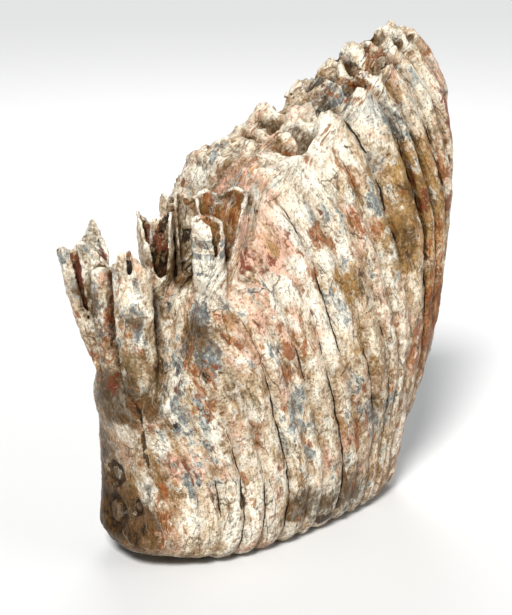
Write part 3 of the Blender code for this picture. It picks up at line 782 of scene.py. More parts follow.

# %% [markdown]
# ## Where each mineral lies
#
# Ten thousand years in wet ground stained the tooth. Rust came in as iron, a chalky crust is left of the
# outer cement, enamel shows through in blue-grey, and the hollows hold soot-dark earth; in the crevice
# between the roots that dark soot also stands for painted shade. An image could be painted for this. We
# store how likely each mineral is at every point instead, as attributes of the mesh, and let noise in the
# material decide its crisp edge. That holds up at any zoom and needs no picture.
#
# Stains on the sides are placed by plate count and height, because they run along the plates.

# %% Stains of the cheek side
# For each mineral: plate count, height, half the width in plates, half the height, strength.
# Heights are in millimetres.
CHEEK_STAINS = {
    "chalk": (
        (9.6, 158, 1.3, 34, -0.35), (9.5, 100, 1.0, 30, -0.4), (2.3, 166, 0.9, 18, -0.2),
        (-1.6, 84, 0.23, 6, 0.9), (-2.0, 18, 1.7, 15, 0.62), (1.2, 20, 1.6, 17, 0.55),
        (-0.4, 42, 1.3, 12, 0.5), (-4.1, 66, 0.15, 5, 0.6), (-5.1, 32, 0.5, 14, 0.7),
        (-3.2, 32, 0.53, 15, 0.7), (3.4, 171, 0.41, 9, 1), (3.7, 159, 0.36, 7, 0.9),
        (3, 151, 0.62, 8, 0.9), (1.8, 139, 0.61, 9, 0.9), (2.9, 128, 0.47, 12, 0.9),
        (4.7, 151, 0.81, 5, 0.9), (7, 204, 0.3, 11, 1), (9.5, 231, 0.35, 5, 0.7), (6.6, 176, 0.28, 7, 0.6),
        (6.3, 154, 0.27, 10, 0.6), (5.3, 193, 0.26, 5, 0.7), (0.3, 110, 0.47, 9, 0.6),
        (1.6, 123, 0.41, 9, 0.6), (-2.3, 45, 0.46, 8, 0.6), (1.2, 50, 0.39, 8, 0.7),
        (-1.8, 31, 0.37, 18, 0.5), (4.2, 18, 1.1, 9, 0.5), (-0.2, 142, 0.19, 2, 0.5),
        (7.3, 85, 0.83, 8, 0.4), (-3.9, 49, 0.32, 4, 0.5), (-4, 65, 0.17, 3, 0.6)),
    "blue": (
        (9.4, 160, 1.3, 36, -0.6), (-0.6, 120, 1.0, 12, -0.3), (5.2, 174, 0.74, 9, 0.7),
        (4, 131, 0.33, 5, 0.7), (4.3, 121, 0.44, 9, 0.6), (0.4, 114, 0.42, 5, 0.5),
        (8.3, 218, 0.51, 6, 0.7), (7.9, 216, 0.12, 4, 0.7), (9.2, 207, 0.57, 8, 0.8),
        (7.9, 193, 0.24, 6, 0.6), (7.4, 174, 0.4, 11, 0.8), (-3.9, 50, 0.32, 3, 0.7),
        (4.7, 57, 0.38, 11, 0.8), (4.3, 17, 1.13, 5, 0.6), (5.3, 193, 0.23, 4, 0.6),
        (6.5, 62, 0.62, 9, 0.6), (10.8, 236, 0.12, 7, 0.4), (11.3, 230, 0.73, 8, 0.4),
        (5.6, 166, 0.45, 11, 0.4)),
    "rust": (
        (4.4, 164, 0.25, 6, 1), (4.9, 157, 0.15, 8, 0.9), (3.5, 144, 0.21, 8, 1), (6.4, 164, 0.29, 7, 1),
        (7.2, 158, 0.18, 5, 0.9), (5.6, 150, 0.14, 4, 0.8), (2.6, 141, 0.4, 6, 0.5),
        (7, 194, 0.25, 15, 0.6), (9.8, 100, 0.33, 29, 0.9), (8.2, 88, 0.38, 14, 0.7),
        (-2.5, 48, 0.12, 5, 0.9), (-0.8, 29, 0.49, 18, 0.55), (0, 117, 0.12, 2, 0.9),
        (1.2, 109, 0.23, 3, 0.8), (0.1, 83, 0.17, 3, 0.9), (3.6, 51, 0.19, 18, 0.85),
        (4.3, 57, 0.19, 12, 0.6), (9, 228, 0.21, 4, 0.7), (11, 179, 0.36, 7, 0.7),
        (5.9, 201, 0.19, 5, 0.6), (0.8, 60, 0.32, 5, 0.6), (1.9, 63, 0.36, 5, 0.5),
        (3.8, 70, 0.27, 4, 0.6), (10.5, 189, 0.48, 7, 0.5), (4.3, 80, 0.2, 4, 0.7),
        (8.3, 223, 0.12, 3, 0.5), (4.7, 165, 0.18, 5, 0.5), (3.4, 25, 0.17, 7, 0.4), (3, 69, 0.21, 4, 0.5)),
    "red": (
        (12.5, 207, 0.23, 12, 0.8), (11.1, 160, 0.37, 7, 0.8), (9.1, 171, 0.44, 14, 0.45),
        (10.3, 108, 0.18, 14, 0.6), (-4.9, 59, 0.52, 7, 0.6), (3, 168, 0.4, 8, 0.7),
        (1.5, 157, 0.72, 10, 0.5), (3.5, 54, 0.17, 15, 0.5), (-0.9, 49, 0.24, 5, 0.35)),
    "pink": (
        (2.3, 166, 1.16, 25, 1.15), (3.6, 188, 0.59, 11, 0.95), (-0.4, 112, 1.3, 16, 0.5),
        (0.4, 137, 0.64, 12, 0.7), (-0.6, 132, 0.43, 12, 0.6), (-4.9, 59, 0.55, 8, 0.7),
        (2.3, 46, 0.72, 8, 0.4), (7.9, 77, 1.32, 16, 0.4), (5, 182, 0.4, 9, 0.4), (-0.2, 88, 1.17, 22, 0.3)),
    "ochre": (
        (4.8, 137, 0.77, 11, 0.9), (2.3, 165, 0.35, 8, 0.8), (9.4, 162, 1.6, 32, 1.1),
        (1.7, 132, 0.21, 4, 0.8), (9.5, 121, 0.58, 27, 0.6), (4.6, 112, 0.78, 11, 0.45),
        (7.4, 142, 0.36, 13, 0.7), (3.6, 119, 0.63, 12, 0.5), (9.6, 225, 0.53, 5, 0.4),
        (2.3, 105, 0.74, 14, 0.35), (8.6, 26, 0.36, 11, 0.5)),
    "drab": (
        (1.7, 19, 0.75, 12, 0.9), (6.1, 203, 0.91, 14, 0.3), (9, 177, 1.23, 27, 0.55),
        (-1.2, 105, 0.64, 14, 0.35), (-1.8, 112, 0.37, 11, 0.5)),
    "soot": (
        (2, 10, 0.57, 6, 0.9), (8, 142, 0.10, 4, 0.9), (9, 135, 0.13, 4, 0.9), (-2.7, 35, 0.18, 5, 0.8),
        (-1.4, 95, 0.24, 5, 0.5), (2.7, 181, 0.12, 2, 0.8), (-1.9, 107, 0.26, 2, 0.4),
        (7.9, 169, 0.14, 14, 0.3)),
}
MINERALS = tuple(CHEEK_STAINS)
print("minerals:", ", ".join(MINERALS))

# %% [markdown]
# The plates don't reach the front end, the roots or the root face, so a second table places
# its stains by x, y and height instead.

# %% Stains of the front end, the roots and the root face
# For each mineral: x, y, height, half the width, half the height, strength, in millimetres
OTHER_STAINS = {
    "chalk": (
        (-71, -4, 75, 6, 8, 0.7), (-63, -15, 47, 5, 10, 0.9), (-61, -29, 145, 4, 7, 0.9),
        (-70, -21, 125, 3, 4, 0.8), (-72, -20, 143, 6, 6, 0.6), (-58, -28, 105, 4, 11, 1.0),
        (-59, -28, 90, 3, 5, 0.9), (-45, -36, 80, 4, 7, 0.95), (-74, -8, 142, 15, 16, 0.35),
        (-46, -38, 166, 9, 20, 0.85), (-43, -2, 172, 7, 8, 0.8), (-9, 12, 192, 15, 11, 0.6),
        (-48, -39, 140, 4, 8, 0.9), (97, -10, 249, 11, 6, 0.5), (-48, -40, 178, 5, 6, 0.8),
        (-45, -40, 154, 8, 13, 0.9), (-76, 0, 140, 6, 15, 0.55), (-69, 16, 159, 6, 5, 0.5),
        (-43, -3, 174, 4, 5, 0.8)),
    "blue": (
        (-63, -15, 46, 4, 8, 0.52), (-71, -21, 139, 5, 6, 0.8), (-76, -16, 153, 2, 3, 0.7),
        (-61, -28, 145, 3, 4, 0.5), (-22, -30, 167, 5, 8, 1), (-47, -40, 172, 10, 1.7, 1.6),
        (-47, -39, 165.8, 10, 1.4, 1.6), (-47, -39, 157, 10, 0.9, 0.8), (-74, -6, 142, 15, 20, 0.45),
        (-47, -8, 170, 4, 6, 0.7), (-47, 5, 154, 2, 8, 0.9), (-76, 0, 136, 5, 11, 0.45),
        (-56, -32, 133, 5, 6, 1.1), (-47, -36, 135, 6, 6.5, 1.5), (-58, -32, 123, 5, 6, 1.3),
        (-41, -39, 115, 5, 7, 1.5), (-44, -36, 79, 2, 6, 0.7), (-70, -14, 96, 2, 4, 0.8),
        (-58, -28, 103, 2, 6, 0.5), (-16, -36, 182, 3, 2, 0.5)),
    "rust": (
        (-59, -21, 38, 5, 20, 0.7), (-67, 6, 30, 17, 24, 0.30), (-66, 2, 42, 8, 6, 0.6),
        (112, -22, 105, 12, 30, 1.0), (-8, 10, 192, 18, 16, -0.4), (-63, -15, 48, 4, 9, -0.5),
        (-71, -4, 75, 7, 8, -0.4), (-72, -2, 142, 2, 17, 0.9), (-43, -39, 107, 4, 6, 0.7),
        (-53, -35, 118, 3, 7, 0.8), (-47, -37, 109, 4, 5, 0.9), (-44, -38, 95, 5, 12, 0.6),
        (119, -20, 128, 6, 36, 0.75), (122, -20, 166, 4, 20, 0.6), (111, -21, 80, 6, 20, 0.7),
        (103, -15, 40, 6, 20, 0.6), (98, -11, 14, 5, 9, 0.5), (84, -6, 239, 6, 6, 0.9),
        (-41, -43, 170, 2, 8, 0.8), (-48, -39, 165, 5, 18, -0.6), (-70, 18, 106, 2, 5, 0.8),
        (-81, 12, 127, 2, 5, 0.5), (-76, 0, 135, 2, 2, 0.7)),
    "red": (
        (-75, 18, 152, 3, 4, 1), (-8, 10, 192, 18, 16, -0.6), (-72, -1, 98, 5, 5, 1),
        (-70, -15, 91, 3, 4, 0.8), (-13, 22, 183, 2, 4, 0.9), (42, -1, 220, 2, 3, 0.7)),
    "pink": (
        (-69, -1, 68, 7, 10, 0.5), (-56, -26, 60, 8, 8, 0.9)),
    "ochre": (
        (-78, 10, 125, 4, 9, 0.7), (-69, -21, 162, 5, 5, 0.4), (-14, -33, 188, 6, 9, 0.4),
        (60, -26, 226, 5, 5, 0.5), (-47, -35, 89, 5, 15, 0.8), (-55, -29, 72, 7, 8, 0.3),
        (-43, -39, 135, 3, 5, 0.5), (-66, 4, 34, 16, 20, 0.5)),
    "drab": (
        (-67, 5, 30, 15, 24, 0.85), (-70, -19, 107, 11, 15, 0.7), (-73, 1, 89, 8, 12, 0.7),
        (-9, -9, 195, 18, 16, 0.6), (-16, -35, 183, 4, 18, 0.8), (-61, -27, 155, 6, 4, 0.8),
        (59, -4, 229, 17, 11, 0.4), (-62, -25, 79, 8, 5, 0.8), (-48, -36, 95, 9, 8, 0.4),
        # The last row, at x -42 and y -18, is painted shade in the crevice between the open half tube and
        # the banded column.
        (-42, -18, 152, 8, 12, 0.9)),
    "soot": (
        (-66, -7, 22, 8, 6, 0.8), (-66, 12, 18, 14, 14, 0.72), (-67, 4, 27, 13, 16, 0.72),
        (-67, 18, 40, 9, 26, 0.7), (-45, -38, 107, 3, 5, 0.6), (-56, -29, 82, 1.5, 1.5, 0.9),
        (-59, -31, 138, 2, 9, 0.6), (52, -8, 222, 3, 2, 0.6), (58, 12, 223, 2, 2, 0.7),
        # The rows at x -38 and -39, y -15 and -17, are painted shade in the crevice between the open half
        # tube and the banded column.
        (-74, -3, 119, 2, 9, 0.6), (-38, -15, 158, 4, 9, 0.75), (-39, -17, 147, 4, 6, 0.6),
        (-50, -33, 145, 2, 5, 0.5)),
}
print("stains in all:", sum(len(rows) for table in (CHEEK_STAINS, OTHER_STAINS) for rows in table.values()))

# %% [markdown]
# Under the minerals the cement itself runs from pale, where it was rubbed clean, to earthy, where wet soil
# lay against it longest. That changes slowly, over a few centimetres, so a short list of broad areas is
# enough. One listed area is painted shade in the crevice between the roots, and on the root face the tone
# follows the relief as dirt and painted shade: darker in the gaps, paler on the walls.

# %% Broad tones of the cement
# x, y, height and radius in millimetres, and how pale (above 0) or earthy (below 0)
BROAD_TONES = (
    (94, -10, 243, 20, -0.1), (110, -18, 222, 13, 1.0), (35, -31, 207, 14, 1.2), (62, -27, 216, 13, 0.9),
    (8, -36, 180, 16, 0.7), (20, -30, 196, 10, 0.8), (-70, -16, 150, 12, 0.3), (-76, 6, 158, 10, 0.4),
    (-52, -28, 28, 9, 0.9), (-62, -20, 88, 6, -0.9), (-66, 14, 60, 12, -0.5), (25, -41, 103, 14, 0.8),
    (65, -34, 66, 12, -0.4), (28, -33, 194, 12, 0.4), (-6, -37, 176, 13, 0.5), (-13, -36, 182, 10, 0.7),
    (1, -24, 199, 12, 0.4), (-28, -28, 180, 12, -0.9), (56, -5, 228, 16, -0.5), (-82, 9, 138, 10, -1.1),
    (-73, -19, 132, 9, -0.9), (-72, 3, 92, 13, -1.5), (-71, -5, 74, 5, 1.1), (-72, -6, 90, 9, -1.2),
    (112, -24, 105, 12, -1.2), (-50, -36, 127, 10, -1.2), (-55, -31, 93, 8, -0.1),
    (98, -26, 166, 12, -0.1), (-45, 0, 150, 12, -0.6), (62, -36, 62, 12, -0.3), (53, -31, 22, 12, -1.1),
    (18, -36, 24, 9, -1.3), (-60, -19, 39, 6, 0.4), (29, -40, 120, 16, 0.7), (10, -40, 146, 12, 0.6),
    (-23, -36, 37, 19, 0.35), (-25, -39, 60, 10, -0.3), (10, -40, 62, 16, 0.4), (-34, -40, 140, 11, 0.35),
    (-43, -35, 79, 7, 0.3), (-70, -12, 96, 15, -1.2), (-66, 8, 28, 15, -2.4), (-62, -12, 28, 11, -1.3),
    (91, -28, 170, 10, -0.7), (88, -29, 147, 9, -0.9), (118, -19, 113, 7, -0.7), (111, -22, 84, 6, -0.6),
    (108, -12, 46, 6, -0.5), (93, -15, 21, 6, -0.5), (121, -20, 166, 6, -0.6), (49, -38, 133, 10, -0.5),
    (33, -33, 18, 6, -1.0), (8, -35, 20, 7, -0.5), (-35, -40, 97, 8, -0.4), (65, -11, 227, 8, -0.5),
    (50, -5, 223, 9, -0.5), (-76, 2, 125, 7, -0.6), (135, -7, 204, 5, -0.5), (0, -29, 198, 9, 0.2),
    (-10, 0, 191, 12, -0.3), (-60, 30, 60, 22, -0.5), (30, 45, 120, 30, 0.4), (90, 30, 80, 26, -0.5),
    # The area at (-39, -16, 153) is painted shade: it darkens the crevice between the roots.
    (-10, 48, 50, 26, -0.4), (60, 30, 190, 24, 0.4), (-39, -16, 153, 8, -1.2), (-6, -42, 75, 13, 0.5),
    (-69, 9, 71, 6, 0.2), (-58, -22, 60, 12, -0.25),
)


def broad_tone(points):
    """How pale or earthy the cement is: the listed areas, and on the root face dirt and painted shade,
    darker in the gaps and paler on the walls.
    """
    tone = 0.25 * crumble(points, 0.050, 99.0, 2)
    for x, y, z, radius, value in BROAD_TONES:
        tone += value * np.exp(-np.sum(((points / MM - (x, y, z)) / radius) ** 2, axis=1))
    # Root face: gaps darker and walls paler by their height, as dirt and painted shade.
    on_face = ease(1.2 - below_face(points) / 0.005)
    tone += on_face * (2.6 * root_face_relief(points) / CAVITY + 0.2)
    return np.clip(tone, -1.5, 1.4)


print(len(BROAD_TONES), "broad areas")

# %% [markdown]
# Away from the listed stains a low noise, stretched along the plates, gives each mineral its
# usual share of the surface. The far side and the back get theirs only from this.

# %% Mineral shares
# Usual share of each mineral, how much noise changes it, and the seed of that noise
USUAL = {"chalk": (0.08, 0.60, 51.0), "blue": (0.02, 0.65, 57.0), "rust": (-0.08, 0.60, 63.0),
         "red": (-0.35, 0.50, 69.0), "pink": (0.10, 0.60, 75.0), "ochre": (0.02, 0.55, 81.0),
         "drab": (0.00, 0.55, 87.0), "soot": (-0.45, 0.45, 93.0)}
STRETCH = 0.48              # how much longer than wide the streaks are, as width over length
CENTIMETRE = 0.01


def grain_places(points, count):
    """Coordinates that run across the plates, along them, and in depth, in centimetres."""
    x, y, z = points.T
    above_face = ease(0.5 - below_face(points) / 0.030)
    across = count * PLATE_PITCH * (1 - above_face) + x * above_face
    return np.stack([across, z * STRETCH, y], axis=1) / CENTIMETRE


def spread(distance_squared):
    """1 in the middle of a stain, one half at its edge, and 0 beyond."""
    return np.exp(-0.7 * distance_squared**1.25)


def drawn_towards(share, near, strength):
    """A stain above 0 only raises the share, and one below 0 always lowers it."""
    return share + (strength - share) * near * ((strength > share) | (strength < 0))


def mineral_share(mineral, points, count, grain):
    """How likely the mineral is at each point; above one half it shows."""
    x, y, z = points.T / MM
    usual, change, seed = USUAL[mineral]
    share = usual + change * crumble(grain, 2.2, seed, 3)
    cheek = ease((-y + 4) / 10)
    for plate, height, half_width, half_height, strength in CHEEK_STAINS[mineral]:
        near = spread(((count - plate) / half_width) ** 2 + ((z - height) / half_height) ** 2) * cheek
        share = drawn_towards(share, near, strength)
    for place_x, place_y, height, half_width, half_height, strength in OTHER_STAINS[mineral]:
        across = ((x - place_x) ** 2 + (y - place_y) ** 2) / half_width**2
        near = spread(across + ((z - height) / half_height) ** 2)
        share = drawn_towards(share, near, strength)
    return share


points, normals = places_and_normals(tooth_mesh.vertices)
count = plate_count(points[:, 0], points[:, 2])
rib = wavering_rib(points, count)
grain = grain_places(points, count)
shares = {mineral: mineral_share(mineral, points, count, grain) for mineral in MINERALS}

# The round pits hold soot in their troughs, with blue enamel and chalk on their floors
ring, depth = eye_rings(points)
eye = np.clip(depth / 0.0009, 0, 1)
crevice, rim = front_line(points)
shares["soot"] = np.maximum(shares["soot"] * (1 - 0.25 * eye), np.maximum(1.3 * ring, crevice))
shares["rust"] = shares["rust"] - eye - rim
shares["blue"] = np.maximum(shares["blue"], 0.52 * eye)
shares["chalk"] = np.maximum(np.maximum(shares["chalk"], 0.30 * eye), 1.1 * rim)
print({mineral: round(float(share.mean()), 2) for mineral, share in shares.items()})

# %% [markdown]
# The hollow inside of each root has its own coating. A point belongs to it if it is nearer to
# the root's middle line than the wall is, and faces that line.

# %% Linings of the hollow roots
LIP_CHALK = 0.75            # share of chalk on the broken lips


def inside_root(root, points, normals):
    """1 on the inner wall of the root, and 1 on its thin lip."""
    foot, tip = MM * np.array(root.foot), MM * np.array(root.tip)
    share = (points[:, 2] - foot[2]) / (tip[2] - foot[2])
    middle = root_middle(root, share)
    offset = points - middle
    outward = np.hypot(offset[:, 0], offset[:, 1])
    turn = math.radians(root.turn)
    wide = offset[:, 0] * math.cos(turn) + offset[:, 1] * math.sin(turn)
    narrow = -offset[:, 0] * math.sin(turn) + offset[:, 1] * math.cos(turn)
    radius = MM * (root.radii[0] + (root.radii[1] - root.radii[0]) * share)
    reach = np.hypot(wide / radius, narrow / (radius * root.flat))
    facing = -(normals[:, 0] * offset[:, 0] + normals[:, 1] * offset[:, 1]) / outward
    near = ease((1.02 - 0.5 * MM * root.wall / radius - reach) / 0.10)
    above_floor = ease((points[:, 2] / MM - root.floor + 6) / 6)
    below_top = ease((root.lined_to - points[:, 2] / MM) / 3)
    direction = np.degrees(np.arctan2(offset[:, 1], offset[:, 0]))
    below_lip = lip_heights(root, direction) - points[:, 2]
    lip = ease((0.0024 - np.abs(below_lip)) / 0.0016)
    lip = lip * ease((reach - 0.55) / 0.15) * ease((1.25 - reach) / 0.15)
    return near * above_floor * below_top * ease((facing + 0.35) / 0.4), lip


lined = np.zeros(len(points))
for root in ROOTS:
    inside, lip = inside_root(root, points, normals)
    lined = np.maximum(lined, inside)
    for mineral in MINERALS:
        share = shares[mineral] + ((LIP_CHALK if mineral == "chalk" else 0.0) - shares[mineral]) * lip
        inner = inside * (1 - 0.7 * lip)
        shares[mineral] = share * (1 - inner) + (root.lining.get(mineral, 0.0) + 0.5 * share) * inner
print("lined walls:", int((lined > 0.5).sum()), "points")

# %% [markdown]
# Dirt stays where nothing rubs it off, in pits, grooves and between the roots, and shade falls there too, so
# the material darkens these places with dirt and painted shade. To find them we send a dozen short rays out
# of each point and count how many hit the tooth itself.

# %% Recesses
RAYS = 12
RAY_REACH = 0.014
START_GAP = 0.0003          # keeps a ray from hitting the face it starts on


def ray_directions():
    """Even directions over the upper half of a ball, on a spiral."""
    turns = (np.arange(RAYS) + 0.5) / RAYS
    rise = 1 - 0.92 * turns
    angle = math.pi * (1 + math.sqrt(5)) * np.arange(RAYS)
    level = np.sqrt(1 - rise**2)
    return [Vector((l * math.cos(a), l * math.sin(a), r)) for l, a, r in zip(level, angle, rise)]


def recess_shares(mesh):
    """The share of short rays from each point that hit the tooth itself."""
    tree = BVHTree.FromPolygons([v.co for v in mesh.vertices], [p.vertices for p in mesh.polygons])
    directions = ray_directions()
    found = np.zeros(len(mesh.vertices))
    for index, vertex in enumerate(mesh.vertices):
        turn = Vector((0, 0, 1)).rotation_difference(vertex.normal)
        start = vertex.co + vertex.normal * START_GAP
        for direction in directions:
            if tree.ray_cast(start, turn @ direction, RAY_REACH)[0] is not None:
                found[index] += 1.0 / RAYS
    return found


def softened(mesh, values, rounds=2):
    """Values evened out along the mesh's edges."""
    ends = np.empty(2 * len(mesh.edges), dtype=np.int64)
    mesh.edges.foreach_get("vertices", ends)
    first, second = ends[0::2], ends[1::2]
    size = len(values)
    degree = np.bincount(first, minlength=size) + np.bincount(second, minlength=size)
    for _ in range(rounds):
        total = np.bincount(first, values[second], size) + np.bincount(second, values[first], size)
        values = 0.5 * values + 0.5 * total / degree
    return values


# The recess share is painted into the colour later, as dirt and painted shade.
recess = softened(tooth_mesh, recess_shares(tooth_mesh)) * (1 - 0.5 * lined)
print("mean recess:", round(float(recess.mean()), 3))

# %% [markdown]
# The mesh now keeps all of this. An attribute is a number, or three at once, for each point.
# The material reads them back by name, and they stay with the mesh when it is exported.

# %% Storing the attributes
def store(mesh, name, *channels):
    """Keeps three values a point, as one vector attribute."""
    attribute = mesh.attributes.new(name, "FLOAT_VECTOR", "POINT")
    attribute.data.foreach_set("vector", np.stack(channels, axis=1).astype(np.float32).ravel())


store(tooth_mesh, "grain", *grain.T)
store(tooth_mesh, "pale_minerals", shares["chalk"], shares["pink"], shares["blue"])
store(tooth_mesh, "warm_minerals", shares["rust"], shares["red"], shares["ochre"])
# The third channel, the recess share, becomes dirt and painted shade in the material.
store(tooth_mesh, "dark_minerals_and_shade", shares["soot"], shares["drab"], recess)
store(tooth_mesh, "plates", rib, seam_openness(points, normals, rib), broad_tone(points))
print("attributes:", [attribute.name for attribute in tooth_mesh.attributes])

# %% [markdown]
# ## Shader helpers
#
# A material is a board of small boxes joined by wires. Placing each box by hand would hide
# the idea in clutter, so three helpers place a box, do sums, and lay one colour over another.
# Effects that come back with other values, such as the flaky edge of a mineral, are groups:
# a board of their own with named inputs and outputs.

# %% Shader board
def linear_tone(red, green, blue):
    """A colour from 0 to 255 as the eye sees it, in the linear values that shaders use."""
    shares = np.array([red, green, blue]) / 255
    linear = np.where(shares <= 0.04045, shares / 12.92, ((shares + 0.055) / 1.055) ** 2.4)
    return (*[round(float(value), 4) for value in linear], 1.0)


class Board:
    """Places and joins the boxes of one shader tree."""

    def __init__(self, tree):
        self.tree = tree

    def feed(self, socket, value):
        """Joins a wire to the socket, or sets the socket to a plain value."""
        if isinstance(value, bpy.types.NodeSocket):
            self.tree.links.new(value, socket)
        else:
            socket.default_value = value

    def place(self, kind, inputs=None, **settings):
        """A new box with its settings made and its inputs fed."""
        box = self.tree.nodes.new(kind)
        for name, value in settings.items():
            setattr(box, name, value)
        for name, value in (inputs or {}).items():
            self.feed(box.inputs[name], value)
        return box

    def sum(self, operation, *values):
        box = self.tree.nodes.new("ShaderNodeMath")
        box.operation = operation
        for socket, value in zip(box.inputs, values):
            self.feed(socket, value)
        return box.outputs[0]

    def times(self, first, second):
        return self.sum("MULTIPLY", first, second)

    def added(self, start, *steps):
        """The start value with a step added in full where each mask is 1."""
        for mask, step in steps:
            start = self.sum("MULTIPLY_ADD", mask, step, start)
        return start

    def scaled(self, vector, factors):
        """The vector or colour with each channel multiplied by its factor."""
        box = self.place("ShaderNodeVectorMath", operation="MULTIPLY", inputs={0: vector, 1: factors})
        return box.outputs[0]

    def slide(self, value, low, high, to_low=0.0, to_high=1.0):
        """Moves softly from one value to the other between low and high."""
        box = self.place("ShaderNodeMapRange", interpolation_type="SMOOTHSTEP", inputs={
            "Value": value, "From Min": low, "From Max": high, "To Min": to_low, "To Max": to_high})
        return box.outputs[0]

    def over(self, share, under, top):
        """The top colour laid over the other by a share."""
        box = self.tree.nodes.new("ShaderNodeMix")
        box.data_type = "RGBA"
        for socket, value in zip((box.inputs[0], box.inputs[6], box.inputs[7]), (share, under, top)):
            self.feed(socket, value)
        return box.outputs[2]

    def noise(self, vector, scale, detail=5.0, roughness=0.6, distortion=0.0):
        box = self.place("ShaderNodeTexNoise", inputs={
            "Vector": vector, "Scale": scale, "Detail": detail, "Roughness": roughness,
            "Distortion": distortion})
        return box.outputs[0]

    def group(self, group, **values):
        box = self.tree.nodes.new("ShaderNodeGroup")
        box.node_tree = group
        for name, value in values.items():
            self.feed(box.inputs[name], value)
        return box.outputs


def new_group(name, inputs, outputs):
    """An empty group: its board, the sockets that come in, and the box that takes what goes out."""
    group = bpy.data.node_groups.new(name, "ShaderNodeTree")
    for label, value in inputs.items():
        kind = "NodeSocketVector" if value is None else "NodeSocketFloat"
        socket = group.interface.new_socket(label, in_out="INPUT", socket_type=kind)
        if value is not None:
            socket.default_value = value
    for label in outputs:
        group.interface.new_socket(label, in_out="OUTPUT", socket_type="NodeSocketFloat")
    board = Board(group)
    return board, board.place("NodeGroupInput").outputs, board.place("NodeGroupOutput").inputs


print("cream as the shader sees it:", linear_tone(228, 216, 196))

# %% [markdown]
# A mineral's edge is where its share at a place, shaken by fine noise, passes one half. A
# seam is a thin line where the rib number passes a whole, in a wider shallow valley.

# %% Groups for mineral edges and seams
def flaky_group():
    """A mineral's ragged edge."""
    board, take, give = new_group("flaky edge", {
        "Grain": None, "Place": None, "Share": 0.5, "Scale": 3.0, "Ragged": 4.0, "Softness": 0.10}, ["Mask"])
    patches = board.noise(take["Grain"], take["Scale"], 4.0, 0.58, 0.4)
    crumbs = board.noise(take["Place"], 300.0, 4.0, 0.66)
    both = board.sum("MULTIPLY_ADD", crumbs, 0.45, patches)
    shaken = board.sum("MULTIPLY_ADD", board.sum("SUBTRACT", both, 0.725), take["Ragged"], take["Share"])
    low = board.sum("SUBTRACT", 0.5, take["Softness"])
    high = board.sum("ADD", 0.5, take["Softness"])
    board.feed(give["Mask"], board.slide(shaken, low, high))
    return board.tree


def seam_group():
    """The dark line of a seam, and the shallow valley that it lies in."""
    board, take, give = new_group(
        "seam line", {"Number": 0.0, "Openness": 0.5, "Width": 0.10}, ["Mask", "Valley"])
    part = board.sum("FRACT", take["Number"])
    nearness = board.times(board.sum("ABSOLUTE", board.sum("SUBTRACT", part, 0.5)), 2.0)
    width = board.times(take["Width"], take["Openness"])
    line = board.slide(nearness, board.sum("SUBTRACT", 1.0, width),
                       board.sum("SUBTRACT", 1.0, board.times(width, 0.4)))
    board.feed(give["Mask"], board.times(line, board.slide(take["Openness"], 0.15, 0.55)))
    # The valley is painted umber later, as dirt and painted shade in the grooves.
    board.feed(give["Valley"], board.slide(nearness, 0.30, 1.0))
    return board.tree


flaky, seams = flaky_group(), seam_group()
print("groups:", [group.name for group in bpy.data.node_groups])

# %% [markdown]
# Old cement is crazed with hairline cracks and sprinkled with dark specks. Both come from
# Voronoi cells: the cracks follow the borders between cells, and the specks are the middles
# of a few cells. Where thin flakes came away they left stepped borders, like the contour
# lines of a map, so those are drawn as the contours of a slow noise.

# %% Groups for cracks, specks and flakes
def crack_group():
    """Thin lines along the borders of bent cells."""
    board, take, give = new_group("hairline cracks", {"Grain": None, "Scale": 1.0, "Width": 0.03}, ["Mask"])
    shift = board.place("ShaderNodeTexNoise", inputs={"Vector": take["Grain"], "Scale": 1.5, "Detail": 4.0})
    bent = board.place("ShaderNodeVectorMath", operation="MULTIPLY_ADD", inputs={
        0: shift.outputs[1], 1: (0.5, 0.5, 0.5), 2: take["Grain"]})
    cells = board.place("ShaderNodeTexVoronoi", feature="DISTANCE_TO_EDGE", inputs={
        "Vector": bent.outputs[0], "Scale": take["Scale"]})
    board.feed(give["Mask"], board.slide(cells.outputs["Distance"], 0.0, take["Width"], 1.0, 0.0))
    return board.tree


def speck_group():
    """Small dots in the middle of some cells."""
    board, take, give = new_group(
        "specks", {"Place": None, "Scale": 12.0, "Size": 0.3, "Share": 0.3}, ["Mask"])
    cells = board.place("ShaderNodeTexVoronoi", inputs={"Vector": take["Place"], "Scale": take["Scale"]})
    dot = board.slide(cells.outputs["Distance"], 0.0, take["Size"], 1.0, 0.0)
    channels = board.place("ShaderNodeSeparateColor", inputs={"Color": cells.outputs["Color"]})
    board.feed(give["Mask"], board.times(dot, board.sum("LESS_THAN", channels.outputs[0], take["Share"])))
    return board.tree


def contour_group():
    """Broken contour lines of a slow noise."""
    board, take, give = new_group(
        "flake contours", {"Grain": None, "Scale": 0.5, "Rings": 7.0, "Width": 0.06}, ["Mask"])
    hills = board.noise(take["Grain"], take["Scale"], 3.0, 0.50, 0.3)
    part = board.sum("FRACT", board.times(hills, take["Rings"]))
    line = board.slide(board.sum("ABSOLUTE", board.sum("SUBTRACT", part, 0.5)), 0.0, take["Width"], 1.0, 0.0)
    shown = board.slide(board.noise(take["Grain"], 1.3, 4.0, 0.6), 0.48, 0.56)
    board.feed(give["Mask"], board.times(line, shown))
    return board.tree


cracks, specks, contours = crack_group(), speck_group(), contour_group()
print("groups:", [group.name for group in bpy.data.node_groups])

# %% [markdown]
# ## The fossil's surface
#
# One material carries the whole tooth, because its minerals run into each other without a
# border. We start from a beige ground and lay the minerals over it, the faint ones first and
# the dark ones last, as they came in life: cement, stains, crust, then dirt in the seams. A
# blue patch of enamel has a pale rim, where the crust has only just flaked off it.

